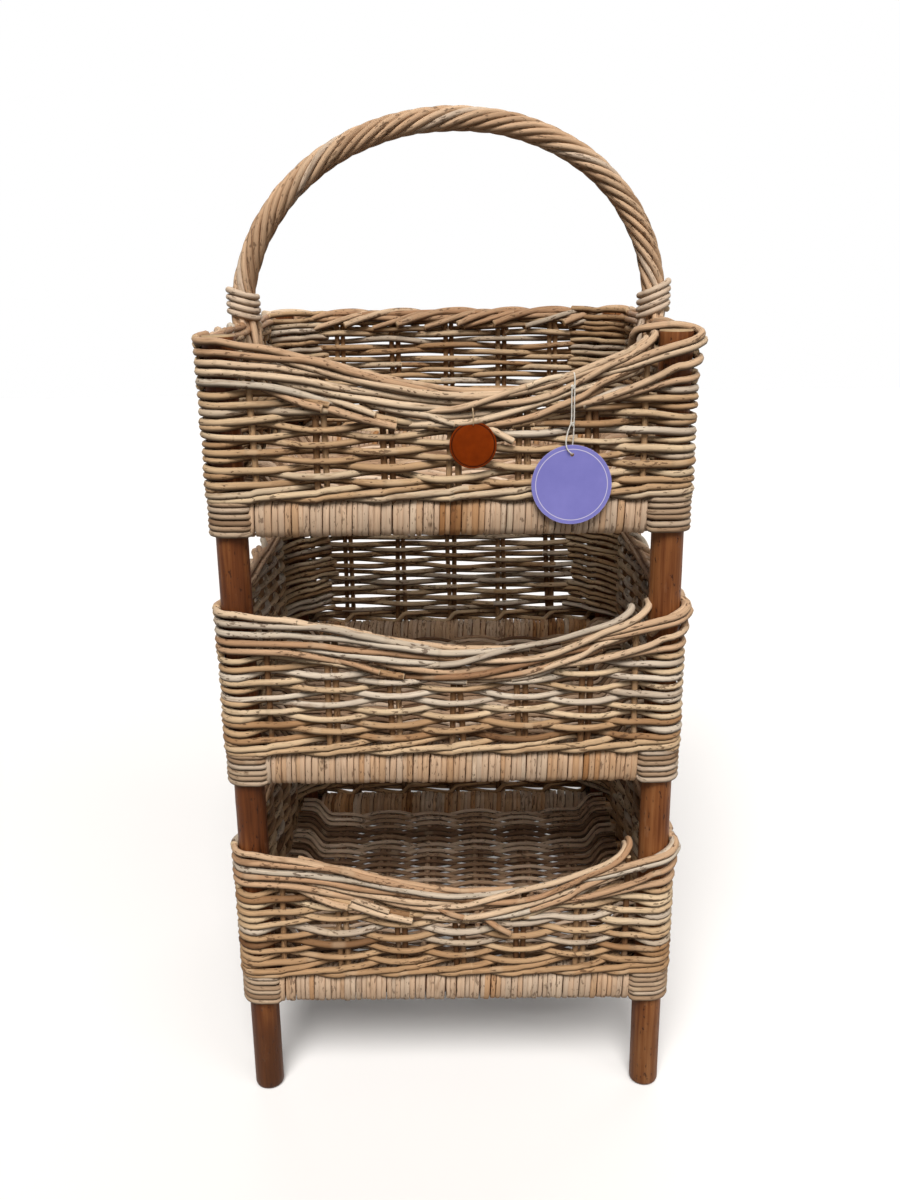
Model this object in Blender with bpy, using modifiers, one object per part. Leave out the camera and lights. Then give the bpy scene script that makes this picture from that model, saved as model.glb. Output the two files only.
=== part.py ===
"""Three-tier rattan basket stand with a hoop handle.

Four rattan posts carry three tiers. Each tier has four cross rails wrapped in cane, a woven floor,
a woven wall that goes round outside the posts, and a border. The handle's feet stand in the top
basket's side walls. A round tag hangs by a string from a loose cane in the top basket's front rim.

Metres, +Z up. The origin is on the floor, midway between the posts. The front faces -Y.
"""

import math

import bmesh
import bpy
from mathutils import Matrix, Vector

# Driving dimensions. The uprights are places along each side, from its middle, going round to the right
# from the front.

POST_SPAN_X = 0.406
POST_SPAN_Y = 0.390
POST_DIAMETER = 0.0305
POST_HEIGHT = 0.794
POST_TOP_BELOW_RIM = 0.005
FOOT_ROUNDING = 0.004
POST_TOP_CHAMFER = 0.0008

LEG_LENGTH = 0.111
RAIL_POLE_DIAMETER = 0.028
WRAP_THICKNESS = 0.0032

BASKET_HEIGHT = 0.186
WALL_INNER_OFFSET = 0.001
WALL_OUTER_OFFSET = 0.022
WEAVE_RELIEF = 0.008
FOOT_BAND = 0.0100
FIRST_ROW = 0.0147
ROW_PITCH = 0.00735
WEAVE_ROWS = 16
LEAST_ROW_HEIGHT = 0.0018
FRONT_UPRIGHTS = (-0.115, -0.055, 0.005, 0.067, 0.129)
SIDE_UPRIGHTS = (-0.118, -0.060, 0.0, 0.060, 0.118)
BACK_UPRIGHTS = (-0.128, -0.0645, 0.0, 0.066, 0.134)
BORDER_INNER_OFFSET = -0.001
BORDER_OUTER_OFFSET = 0.0235
BORDER_HEIGHT = 0.020
BORDER_CHAMFER = 0.005
FRONT_DIPS = (0.048, 0.038, 0.048)
DIP_CENTRE_X = 0.025
DIP_FULLNESS = 1.3

FLOOR_THICKNESS = 0.016
FLOOR_DROP = 0.016
FLOOR_EDGE_ROUNDING = 0.003

LASHING_CANE_DIAMETER = 0.0046
LASHING_PASSES = 5
LASHING_SELF_GAP = 0.0018

HANDLE_DIAMETER = 0.024
HANDLE_HEIGHT = 0.190
HANDLE_LEAN = 0.008
HANDLE_FULLNESS = 2.05
HANDLE_TAIL_DIAMETER = 0.012
HANDLE_TAIL_LENGTH = 0.046
HANDLE_SHOULDER = 0.0009
HANDLE_SOCKET_CLEARANCE = 0.00036

BINDING_CANE_DIAMETER = 0.0065
BINDING_SELF_GAP = 0.0005
BINDING_TURNS = 3.6

RIM_CANE_DIAMETER = 0.007
RIM_CANE_SPAN = 0.300
RIM_CANE_DROP = 0.008
RIM_CANE_STANDOFF = 0.0030
RIM_CANE_FLATNESS = 8
RIM_RECESS = 0.0092
RIM_RECESS_SPAN = 0.350

PATCH_DIAMETER = 0.044
PATCH_THICKNESS = 0.0025
PATCH_X = 0.022
PATCH_HEIGHT_ON_WALL = 0.0495
PATCH_BACKING_RADIUS = 0.033

TAG_DIAMETER = 0.072
TAG_THICKNESS = 0.001
TAG_HOLE_DIAMETER = 0.0036
TAG_HOLE_FROM_EDGE = 0.0088
TAG_X = 0.110
STRING_DIAMETER = 0.0012
STRING_DROP = 0.0665
KNOT_DROP = 0.040
STRING_HALF_SPREAD = 0.0012
STRING_TURN_RADIUS = 0.0023

SEAT_GAP = 0.0003
STRAIGHT_CLEARANCE = 0.0009
MERGE_DISTANCE = 0.00005
SAME_PLANE_ANGLE = math.radians(0.2)

# How finely the round pieces are divided

POST_SIDES = 24
RAIL_SIDES = 16
ARC_STEPS_PER_CORNER = 4
RIM_CANE_STEPS = 28
LASHING_STEPS = 4
BINDING_STEPS_PER_TURN = 16
HANDLE_STEPS = 30
PATCH_SIDES = 32
STRING_POINTS = 74

# What follows from them

HALF_X = POST_SPAN_X / 2
HALF_Y = POST_SPAN_Y / 2
POST_RADIUS = POST_DIAMETER / 2
POST_HOLE_RADIUS = POST_RADIUS + SEAT_GAP
WRAP_INNER_RADIUS = RAIL_POLE_DIAMETER / 2 + SEAT_GAP
WRAP_RADIUS = WRAP_INNER_RADIUS + WRAP_THICKNESS
RAIL_HEIGHT = 2 * WRAP_RADIUS

TIERS = ("bottom", "middle", "top")
TOP_RIM_HEIGHT = POST_HEIGHT + POST_TOP_BELOW_RIM
TIER_PITCH = (TOP_RIM_HEIGHT - BASKET_HEIGHT - LEG_LENGTH) / (len(TIERS) - 1)
CORNERS = (("front_left", -1, -1), ("front_right", 1, -1), ("back_right", 1, 1), ("back_left", -1, 1))

# Colour, roughness and metallic value of each finish

FINISHES = {
    "pole": ((0.19, 0.072, 0.030, 1.0), 0.50, 0.0),
    "wrap": ((0.42, 0.30, 0.19, 1.0), 0.60, 0.0),
    "weave": ((0.40, 0.26, 0.14, 1.0), 0.62, 0.0),
    "border": ((0.46, 0.31, 0.17, 1.0), 0.60, 0.0),
    "handle": ((0.38, 0.26, 0.15, 1.0), 0.60, 0.0),
    "leather": ((0.21, 0.035, 0.006, 1.0), 0.45, 0.0),
    "card": ((0.25, 0.23, 0.62, 1.0), 0.70, 0.0),
    "string": ((0.80, 0.76, 0.68, 1.0), 0.80, 0.0),
}


def rail_bottom(tier):
    """Height of the underside of a tier's wrapped rails."""
    return LEG_LENGTH + tier * TIER_PITCH


def rail_centre(tier):
    return rail_bottom(tier) + WRAP_RADIUS


def rail_top(tier):
    return rail_bottom(tier) + RAIL_HEIGHT


def is_top(tier):
    """The top tier alone has the handle, the rim cane and the patch."""
    return tier == len(TIERS) - 1


def rim_height(tier):
    """Top of the border at the corners, the sides and the back."""
    return rail_bottom(tier) + BASKET_HEIGHT


def front_rim_height(tier, x):
    """Top of the front border, which dips between the front posts."""
    reach = HALF_X - DIP_CENTRE_X if x > DIP_CENTRE_X else HALF_X + DIP_CENTRE_X
    share = min(abs(x - DIP_CENTRE_X) / reach, 1.0)
    return rim_height(tier) - FRONT_DIPS[tier] * max(math.cos(share * math.pi / 2), 0.0) ** DIP_FULLNESS


def make_material(finish):
    colour, roughness, metallic = FINISHES[finish]
    material = bpy.data.materials.new(finish)
    material.use_nodes = True
    shader = material.node_tree.nodes["Principled BSDF"]
    shader.inputs["Base Color"].default_value = colour
    shader.inputs["Roughness"].default_value = roughness
    shader.inputs["Metallic"].default_value = metallic
    return material


def link(name, data, collection, finish=None, smooth=False):
    """Put mesh or curve data into the scene under a name, with its own copy of a finish."""
    piece = bpy.data.objects.new(name, data)
    collection.objects.link(piece)
    if finish is not None:
        data.materials.append(make_material(finish))
    if smooth:
        data.shade_smooth()
        data.set_sharp_from_angle(angle=math.radians(40))
    return piece


def mesh_from(bm, name):
    mesh = bpy.data.meshes.new(name)
    bm.to_mesh(mesh)
    bm.free()
    return mesh


def turned_piece(name, profile, sides, collection, finish):
    """A profile of (radius, height) points, turned about Z by a Screw modifier."""
    closed = profile[0] == profile[-1]
    points = profile[:-1] if closed else profile
    bm = bmesh.new()
    verts = [bm.verts.new((radius, 0, height)) for radius, height in points]
    for first, second in zip(verts, verts[1:]):
        bm.edges.new((first, second))
    if closed:
        bm.edges.new((verts[-1], verts[0]))
    piece = link(name, mesh_from(bm, name), collection, finish)
    screw = piece.modifiers.new("turn", "SCREW")
    screw.steps = sides
    screw.render_steps = sides
    screw.use_merge_vertices = True
    screw.merge_threshold = MERGE_DISTANCE
    screw.use_smooth_shade = True
    return piece


def tube_along(name, points, diameter, collection, finish, resolution=1, radii=None):
    """A round tube along a list of points, with filled ends."""
    curve = bpy.data.curves.new(name, "CURVE")
    curve.dimensions = "3D"
    curve.bevel_depth = diameter / 2
    curve.bevel_resolution = resolution
    curve.use_fill_caps = True
    curve.twist_mode = "MINIMUM"
    spline = curve.splines.new("POLY")
    spline.points.add(len(points) - 1)
    for index, point in enumerate(points):
        spline.points[index].co = (*point, 1.0)
        if radii is not None:
            spline.points[index].radius = radii[index]
    piece = bpy.data.objects.new(name, curve)
    collection.objects.link(piece)
    curve.materials.append(make_material(finish))
    return piece


def cut_with(piece, cutter):
    boolean = piece.modifiers.new("cut_" + cutter.name, "BOOLEAN")
    boolean.operation = "DIFFERENCE"
    boolean.solver = "EXACT"
    boolean.object = cutter


def cylinders_cutter(name, places, radius, bottom, top, cutters):
    """One cutter of upright cylinders, one at each (x, y) place."""
    bm = bmesh.new()
    for x, y in places:
        middle = Matrix.Translation((x, y, (bottom + top) / 2))
        bmesh.ops.create_cone(bm, cap_ends=True, segments=POST_SIDES, radius1=radius, radius2=radius,
                              depth=top - bottom, matrix=middle)
    cutter = link(name, mesh_from(bm, name), cutters)
    cutter.hide_render = True
    cutter.display_type = "WIRE"
    return cutter


def post_places():
    return [(side_x * HALF_X, side_y * HALF_Y) for _, side_x, side_y in CORNERS]


def make_posts(collection):
    """The four poles that carry everything, flat cut at the top and rounded at the foot."""
    profile = [(0.0, POST_HEIGHT), (POST_RADIUS - POST_TOP_CHAMFER, POST_HEIGHT),
               (POST_RADIUS, POST_HEIGHT - POST_TOP_CHAMFER)]
    for angle in (0, 45, 90):
        turn = math.radians(angle)
        inset = FOOT_ROUNDING * (1 - math.cos(turn))
        profile.append((POST_RADIUS - inset, FOOT_ROUNDING * (1 - math.sin(turn))))
    profile.append((0.0, 0.0))
    for name, side_x, side_y in CORNERS:
        post = turned_piece("post_" + name, profile, POST_SIDES, collection, "pole")
        post.location = (side_x * HALF_X, side_y * HALF_Y, 0)


def rail_sides(tier):
    """Name, centre and turn about Z of a tier's four rails, and the span that each one bridges."""
    height = rail_centre(tier)
    return (
        ("front", (0, -HALF_Y, height), math.pi / 2, POST_SPAN_X),
        ("back", (0, HALF_Y, height), math.pi / 2, POST_SPAN_X),
        ("left", (-HALF_X, 0, height), 0.0, POST_SPAN_Y),
        ("right", (HALF_X, 0, height), 0.0, POST_SPAN_Y),
    )


def make_rails(tier, collection):
    """Each rail is a pole butted between two posts, in a close wrap of cane."""
    for side, centre, turn, span in rail_sides(tier):
        pole_half = span / 2 - POST_HOLE_RADIUS
        wrap_half = span / 2 - WRAP_RADIUS - SEAT_GAP
        pole_radius = RAIL_POLE_DIAMETER / 2
        pole_profile = [(0.0, pole_half), (pole_radius, pole_half), (pole_radius, -pole_half),
                        (0.0, -pole_half)]
        wrap_profile = [(WRAP_INNER_RADIUS, wrap_half), (WRAP_RADIUS, wrap_half), (WRAP_RADIUS, -wrap_half),
                        (WRAP_INNER_RADIUS, -wrap_half), (WRAP_INNER_RADIUS, wrap_half)]
        pole = turned_piece(f"rail_pole_{TIERS[tier]}_{side}", pole_profile, RAIL_SIDES, collection, "pole")
        wrap = turned_piece(f"rail_wrap_{TIERS[tier]}_{side}", wrap_profile, RAIL_SIDES, collection, "wrap")
        for piece in (pole, wrap):
            piece.location = centre
            piece.rotation_euler = (math.pi / 2, 0, turn)


def lashing_points(tier, side_x, side_y):
    """A cane laid back and forth round the outside of a post, its bends against the two rails' ends."""
    radius = LASHING_CANE_DIAMETER / 2
    reach = (POST_RADIUS + SEAT_GAP + radius) / math.cos(math.pi / 2 / LASHING_STEPS)
    from_rail = math.acos((POST_RADIUS - LASHING_CANE_DIAMETER) / reach)
    half_span = 0.75 * math.pi - from_rail
    pitch = LASHING_CANE_DIAMETER + LASHING_SELF_GAP
    start = rail_centre(tier) - pitch * (LASHING_PASSES - 1) / 2
    outward = math.atan2(side_y, side_x)
    points = []
    for number in range(LASHING_PASSES):
        height = start + number * pitch
        order = range(LASHING_STEPS + 1)
        for step in order if number % 2 == 0 else reversed(order):
            angle = outward + (2 * step / LASHING_STEPS - 1) * half_span
            points.append(Vector((side_x * HALF_X + reach * math.cos(angle),
                                  side_y * HALF_Y + reach * math.sin(angle), height)))
        if number < LASHING_PASSES - 1:
            tangent = Vector((-math.sin(angle), math.cos(angle), 0)) * (1 if number % 2 == 0 else -1)
            points.append(points[-1] + tangent * radius * 0.8 + Vector((0, 0, pitch / 2)))
    return points


def least_self_gap(points, diameter, skip):
    """Smallest clear distance between stretches of a tube that lie more than skip points apart."""
    least = math.inf
    for first in range(len(points)):
        for second in range(first + skip, len(points)):
            least = min(least, (points[first] - points[second]).length - diameter)
    return least


def make_lashings(tier, collection):
    for name, side_x, side_y in CORNERS:
        points = lashing_points(tier, side_x, side_y)
        tube_along(f"lashing_{TIERS[tier]}_{name}", points, LASHING_CANE_DIAMETER, collection, "wrap")
    gap = least_self_gap(points, LASHING_CANE_DIAMETER, 3)
    print(f"lashings of the {TIERS[tier]} tier: least gap to themselves {gap * 1000:.2f} mm")


class Station:
    """A place along a wall, where its cross-section is set.

    The phase is 1 at an upright that the first row passes in front of, and -1 at one that it passes
    behind. It is 0 where a row crosses between two uprights, and None beside and round a post.
    """

    def __init__(self, base, outward, at_corner=False, phase=None):
        self.base = base
        self.outward = outward
        self.at_corner = at_corner
        self.phase = phase
        self.on_front = outward.y < -0.999


def corner_stations(side_x, side_y, first, last):
    """Places round the outside of a post, from one outward angle in degrees to another."""
    steps = max(round(abs(last - first) / (90 / ARC_STEPS_PER_CORNER)), 1)
    post = Vector((side_x * HALF_X, side_y * HALF_Y))
    stations = []
    for step in range(steps + 1):
        angle = math.radians(first + (last - first) * step / steps)
        stations.append(Station(post, Vector((math.cos(angle), math.sin(angle))), at_corner=True))
    return stations


def straight_stations(start, end, outward, first_phase, uprights, with_crossings=False):
    """Places along a wall between two posts: its ends, clear of the posts' holes, and its uprights."""
    along = (end - start).normalized()
    middle = (start + end) / 2
    places = [start] + [middle + along * distance for distance in uprights] + [end]
    stations = []
    for number, place in enumerate(places):
        at_end = place in (start, end)
        if with_crossings and number > 0:
            stations.append(Station(places[number - 1].lerp(place, 0.5), outward, phase=0))
        stations.append(Station(place, outward, phase=None if at_end else first_phase * (-1) ** (number - 1)))
    return stations


def front_stations(mitre):
    reach = HALF_X - POST_HOLE_RADIUS - STRAIGHT_CLEARANCE
    start, end = Vector((-reach, -HALF_Y)), Vector((reach, -HALF_Y))
    run = straight_stations(start, end, Vector((0, -1)), -1, FRONT_UPRIGHTS, with_crossings=True)
    return corner_stations(-1, -1, 225 + mitre, 270) + run + corner_stations(1, -1, 270, 315 - mitre)


def back_stations(mitre, with_uprights=True):
    """From the front right corner round the right side, the back and the left side."""
    reach_x = HALF_X - POST_HOLE_RADIUS - STRAIGHT_CLEARANCE
    reach_y = HALF_Y - POST_HOLE_RADIUS - STRAIGHT_CLEARANCE
    at_side = SIDE_UPRIGHTS if with_uprights else ()
    at_back = BACK_UPRIGHTS if with_uprights else ()
    start, end = Vector((HALF_X, -reach_y)), Vector((HALF_X, reach_y))
    right = straight_stations(start, end, Vector((1, 0)), 1, at_side)
    start, end = Vector((reach_x, HALF_Y)), Vector((-reach_x, HALF_Y))
    back = straight_stations(start, end, Vector((0, 1)), -1, at_back)
    start, end = Vector((-HALF_X, reach_y)), Vector((-HALF_X, -reach_y))
    left = straight_stations(start, end, Vector((-1, 0)), 1, at_side)
    return (corner_stations(1, -1, 315 + mitre, 360) + right + corner_stations(1, 1, 0, 90) + back
            + corner_stations(-1, 1, 90, 180) + left + corner_stations(-1, -1, 180, 225 - mitre))


def loft_band(name, stations, section, closed, collection, finish):
    """Join the cross-sections at a list of stations into one band.

    The surface between four neighbouring points is split along the diagonal that lies deeper in the
    band, so that each bulge of the weave stands alone.
    """
    bm = bmesh.new()
    rings = []
    for station in stations:
        outline = section(station)
        offsets = [offset for offset, _ in outline]
        middle = (min(offsets) + max(offsets)) / 2
        ring = []
        for offset, height in outline:
            place = station.base + station.outward * offset
            ring.append((bm.verts.new((place.x, place.y, height)), abs(offset - middle)))
        rings.append(ring)
    pairs = list(zip(rings, rings[1:] + rings[:1])) if closed else list(zip(rings, rings[1:]))
    for near, far in pairs:
        for index in range(len(near)):
            after = (index + 1) % len(near)
            corners = [near[index], far[index], far[after], near[after]]
            if corners[0][1] + corners[2][1] > corners[1][1] + corners[3][1]:
                corners = corners[1:] + corners[:1]
            verts = [vert for vert, _ in corners]
            bm.faces.new(verts[:3])
            bm.faces.new((verts[0], verts[2], verts[3]))
    if not closed:
        bm.faces.new([vert for vert, _ in rings[0]])
        bm.faces.new([vert for vert, _ in reversed(rings[-1])])
    bmesh.ops.remove_doubles(bm, verts=bm.verts, dist=MERGE_DISTANCE)
    bmesh.ops.recalc_face_normals(bm, faces=bm.faces)
    bmesh.ops.dissolve_limit(bm, angle_limit=SAME_PLANE_ANGLE, verts=bm.verts, edges=bm.edges)
    bmesh.ops.triangulate(bm, faces=bm.faces)
    return link(name, mesh_from(bm, name), collection, finish)


def band_inner(offset, at_corner):
    """Inner side of a band; at a corner it lies within the post's hole, which is cut out after."""
    return POST_RADIUS / 2 if at_corner else offset


def band_top(tier, station):
    return front_rim_height(tier, station.base.x) if station.on_front else rim_height(tier)


def is_filled_out(tier, station, height):
    """The wall keeps its full thickness where the handle's tails stand in it, and behind the patch."""
    if not is_top(tier):
        return False
    if station.on_front:
        away = math.hypot(station.base.x - PATCH_X, height - patch_height())
        return away < PATCH_BACKING_RADIUS
    return abs(station.base.y) < HANDLE_DIAMETER


def row_offsets(tier, station, row, height):
    """Inner and outer face of the wall at a row, which passes in front of an upright or behind it."""
    inner = band_inner(WALL_INNER_OFFSET, station.at_corner)
    if station.phase is None or is_filled_out(tier, station, height):
        return inner, WALL_OUTER_OFFSET
    if station.phase * (-1) ** row == 1:
        return inner + WEAVE_RELIEF, WALL_OUTER_OFFSET
    return inner, WALL_OUTER_OFFSET - WEAVE_RELIEF


def wall_section(tier, relief_inside):
    """Rows that would stand above a dipped rim all end at it."""
    def section(station):
        inner = band_inner(WALL_INNER_OFFSET, station.at_corner)
        bottom = rail_top(tier) + SEAT_GAP
        top = band_top(tier, station) - BORDER_HEIGHT - SEAT_GAP
        inner_face = [(inner, bottom)]
        outer_face = [(WALL_OUTER_OFFSET, bottom), (WALL_OUTER_OFFSET, bottom + FOOT_BAND)]
        for row in range(WEAVE_ROWS):
            height = rail_top(tier) + FIRST_ROW + row * ROW_PITCH
            row_inner, row_outer = row_offsets(tier, station, row, height)
            if height > top - LEAST_ROW_HEIGHT:
                row_inner, row_outer, height = inner, WALL_OUTER_OFFSET, top
            outer_face.append((row_outer, height))
            if relief_inside:
                inner_face.append((row_inner, height))
        outer_face.append((WALL_OUTER_OFFSET, top))
        inner_face.append((inner, top))
        return outer_face + inner_face[::-1]
    return section


def border_section(tier):
    def section(station):
        inner = band_inner(BORDER_INNER_OFFSET, station.at_corner)
        on_front = station.on_front
        behind_cane = is_top(tier) and on_front and abs(station.base.x) < RIM_RECESS_SPAN / 2
        outer = BORDER_OUTER_OFFSET - (RIM_RECESS if behind_cane else 0.0)
        top = band_top(tier, station)
        bottom = top - BORDER_HEIGHT
        cut = BORDER_CHAMFER
        return [(inner + cut, bottom), (outer - cut, bottom), (outer, bottom + cut), (outer, top - cut),
                (outer - cut, top), (inner + cut, top), (inner, top - cut), (inner, bottom + cut)]
    return section


def make_basket(tier, collection, cutters):
    """A tier's woven wall in two pieces and its border, all cut round the posts that stand inside them."""
    mitre = math.degrees(SEAT_GAP / 2 / POST_HOLE_RADIUS)
    tier_name = TIERS[tier]
    holes = cylinders_cutter(f"post_holes_{tier_name}", post_places(), POST_HOLE_RADIUS,
                             rail_centre(tier), rim_height(tier) + RAIL_HEIGHT, cutters)
    front = loft_band(f"wall_front_{tier_name}", front_stations(mitre), wall_section(tier, False), False,
                      collection, "weave")
    rest = loft_band(f"wall_sides_back_{tier_name}", back_stations(mitre), wall_section(tier, True), False,
                     collection, "weave")
    ring = front_stations(0)[:-1] + back_stations(0, with_uprights=False)[:-1]
    border = loft_band(f"border_{tier_name}", ring, border_section(tier), True, collection, "border")
    for piece in (front, rest, border):
        cut_with(piece, holes)
    return rest, border


def make_floor(tier, collection):
    """The woven floor lies inside the four wrapped rails."""
    inset = 2 * (WRAP_RADIUS + SEAT_GAP)
    size = Vector((POST_SPAN_X - inset, POST_SPAN_Y - inset, FLOOR_THICKNESS))
    middle = rail_top(tier) - FLOOR_DROP - FLOOR_THICKNESS / 2
    bm = bmesh.new()
    bmesh.ops.create_cube(bm, size=1.0)
    bmesh.ops.scale(bm, vec=size, verts=bm.verts)
    bmesh.ops.translate(bm, vec=(0, 0, middle), verts=bm.verts)
    name = f"floor_{TIERS[tier]}"
    floor = link(name, mesh_from(bm, name), collection, "weave")
    edge = floor.modifiers.new("edge", "BEVEL")
    edge.width = FLOOR_EDGE_ROUNDING
    edge.segments = 1


def handle_foot_x():
    return HALF_X + (WALL_INNER_OFFSET + WALL_OUTER_OFFSET) / 2


def handle_point(angle):
    """A point of the hoop: angle 0 is the right foot, pi the left foot."""
    across = math.copysign(abs(math.cos(angle)) ** (2 / HANDLE_FULLNESS), math.cos(angle))
    rise = abs(math.sin(angle)) ** (2 / HANDLE_FULLNESS)
    return Vector((handle_foot_x() * across + HANDLE_LEAN * rise, 0,
                   rim_height(len(TIERS) - 1) + SEAT_GAP + HANDLE_HEIGHT * rise))


def handle_centre_at(height, side):
    """Centre of the hoop's foot at a height above the rim, on one side."""
    rise = (height - rim_height(len(TIERS) - 1) - SEAT_GAP) / HANDLE_HEIGHT
    across = (1 - rise ** HANDLE_FULLNESS) ** (1 / HANDLE_FULLNESS)
    return Vector((side * handle_foot_x() * across + HANDLE_LEAN * rise, 0, height))


def make_handle(collection, cutters, socketed):
    """The hoop, drawn in below the bindings to a tail that stands in the side wall at each end."""
    foot = rim_height(len(TIERS) - 1) + SEAT_GAP
    tail_share = HANDLE_TAIL_DIAMETER / HANDLE_DIAMETER
    shoulder = HANDLE_SHOULDER
    points = [Vector((handle_foot_x(), 0, foot - HANDLE_TAIL_LENGTH)), Vector((handle_foot_x(), 0, foot))]
    radii = [tail_share, tail_share]
    start = shoulder / HANDLE_HEIGHT
    for step in range(HANDLE_STEPS + 1):
        angle = start + (math.pi - 2 * start) * step / HANDLE_STEPS
        points.append(handle_point(angle))
        radii.append(1.0)
    points += [Vector((-handle_foot_x(), 0, foot)), Vector((-handle_foot_x(), 0, foot - HANDLE_TAIL_LENGTH))]
    radii += [tail_share, tail_share]
    points[2].z = foot + shoulder
    points[-3].z = foot + shoulder
    tube_along("handle", points, HANDLE_DIAMETER, collection, "handle", resolution=3, radii=radii)
    places = [(handle_foot_x(), 0), (-handle_foot_x(), 0)]
    socket_radius = HANDLE_TAIL_DIAMETER / 2 + HANDLE_SOCKET_CLEARANCE
    sockets = cylinders_cutter("handle_sockets", places, socket_radius, foot - HANDLE_TAIL_LENGTH - SEAT_GAP,
                               foot + RAIL_HEIGHT, cutters)
    for piece in socketed:
        cut_with(piece, sockets)


def binding_points(side):
    """A cane wound round the handle's foot, with a short straight end at the top and at the bottom."""
    radius = BINDING_CANE_DIAMETER / 2
    pitch = BINDING_CANE_DIAMETER + BINDING_SELF_GAP
    reach = (HANDLE_DIAMETER / 2 + SEAT_GAP + radius) / math.cos(math.pi / BINDING_STEPS_PER_TURN)
    reach += HANDLE_LEAN / HANDLE_HEIGHT * pitch
    bottom = rim_height(len(TIERS) - 1) + SEAT_GAP + radius
    steps = round(BINDING_TURNS * BINDING_STEPS_PER_TURN)
    points = []
    for step in range(steps + 1):
        turn = step / BINDING_STEPS_PER_TURN
        height = bottom + turn * pitch
        angle = -side * turn * 2 * math.pi
        arm = Vector((reach * math.cos(angle), reach * math.sin(angle), 0))
        points.append(handle_centre_at(height, side) + arm)
    first = (points[0] - points[1]).normalized() * BINDING_CANE_DIAMETER
    first.z = 0
    last = (points[-1] - points[-2]).normalized() * BINDING_CANE_DIAMETER
    return [points[0] + first] + points + [points[-1] + last]


def make_bindings(collection):
    for name, side in (("left", -1), ("right", 1)):
        points = binding_points(side)
        tube_along(f"handle_binding_{name}", points, BINDING_CANE_DIAMETER, collection, "handle")
    gap = least_self_gap(points, BINDING_CANE_DIAMETER, BINDING_STEPS_PER_TURN // 2)
    print(f"handle bindings: least gap to themselves {gap * 1000:.2f} mm")


def rim_cane_centre(x):
    """Centre of the loose front cane: off the border for most of its length, seated at its two ends."""
    top = len(TIERS) - 1
    share = abs(x) / (RIM_CANE_SPAN / 2)
    border_face = BORDER_OUTER_OFFSET - RIM_RECESS
    seated = border_face + SEAT_GAP + RIM_CANE_DIAMETER / 2
    offset = seated + (RIM_CANE_STANDOFF - SEAT_GAP) * (1 - share ** RIM_CANE_FLATNESS)
    return Vector((x, -HALF_Y - offset, front_rim_height(top, x) - RIM_CANE_DROP - RIM_CANE_DIAMETER / 2))


def make_rim_cane(collection):
    half = RIM_CANE_SPAN / 2
    places = [-half + RIM_CANE_SPAN * step / RIM_CANE_STEPS for step in range(RIM_CANE_STEPS + 1)]
    points = [rim_cane_centre(place) for place in places]
    tube_along("rim_cane_top", points, RIM_CANE_DIAMETER, collection, "border")


def patch_height():
    return rail_top(len(TIERS) - 1) + PATCH_HEIGHT_ON_WALL


def make_patch(collection):
    """The round leather patch sewn to the top basket's front wall."""
    back = -HALF_Y - WALL_OUTER_OFFSET - SEAT_GAP
    middle = Matrix.Translation((PATCH_X, back - PATCH_THICKNESS / 2, patch_height()))
    place = middle @ Matrix.Rotation(math.pi / 2, 4, "X")
    bm = bmesh.new()
    bmesh.ops.create_cone(bm, cap_ends=True, segments=PATCH_SIDES, radius1=PATCH_DIAMETER / 2,
                          radius2=PATCH_DIAMETER / 2, depth=PATCH_THICKNESS, matrix=place)
    patch = link("leather_patch", mesh_from(bm, "leather_patch"), collection, "leather", smooth=True)
    edge = patch.modifiers.new("edge", "BEVEL")
    edge.width = PATCH_THICKNESS / 5
    edge.segments = 1


def circle_spline(curve, centre, radius, count):
    spline = curve.splines.new("POLY")
    spline.points.add(count - 1)
    spline.use_cyclic_u = True
    for index in range(count):
        angle = 2 * math.pi * index / count
        across = centre[0] + radius * math.cos(angle)
        up = centre[1] + radius * math.sin(angle)
        spline.points[index].co = (across, up, 0, 1)


def string_loop_radius():
    """The string's round loop clears the rim cane, which slopes there, whichever way the string swings."""
    rise = rim_cane_centre(TAG_X + STRING_HALF_SPREAD).z - rim_cane_centre(TAG_X - STRING_HALF_SPREAD).z
    slope = rise / (2 * STRING_HALF_SPREAD)
    cane_radius = RIM_CANE_DIAMETER / 2 * math.hypot(1, slope)
    return cane_radius + abs(rise) / 2 + SEAT_GAP + STRING_DIAMETER / 2


def string_front_y():
    """Where the two strands hang, plumb below the front of the rim cane."""
    return rim_cane_centre(TAG_X).y - string_loop_radius()


def tag_pivot():
    """Where the string passes through the tag, under the top of its hole."""
    cane = rim_cane_centre(TAG_X)
    return Vector((TAG_X, string_front_y(), cane.z - STRING_DROP))


def make_tag(collection):
    """The card disc; its origin is where the string holds it, on its swing axis."""
    slack = TAG_HOLE_DIAMETER / 2 - STRING_DIAMETER / 2 - SEAT_GAP
    hole = (0.0, -slack)
    centre = (0.0, hole[1] - (TAG_DIAMETER / 2 - TAG_HOLE_FROM_EDGE))
    curve = bpy.data.curves.new("swing_tag", "CURVE")
    curve.dimensions = "2D"
    curve.fill_mode = "BOTH"
    curve.extrude = TAG_THICKNESS / 2
    circle_spline(curve, centre, TAG_DIAMETER / 2, 2 * POST_SIDES)
    circle_spline(curve, hole, TAG_HOLE_DIAMETER / 2, RAIL_SIDES)
    tag = bpy.data.objects.new("swing_tag", curve)
    collection.objects.link(tag)
    curve.materials.append(make_material("card"))
    tag.rotation_euler = (math.pi / 2, 0, 0)
    return tag


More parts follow.
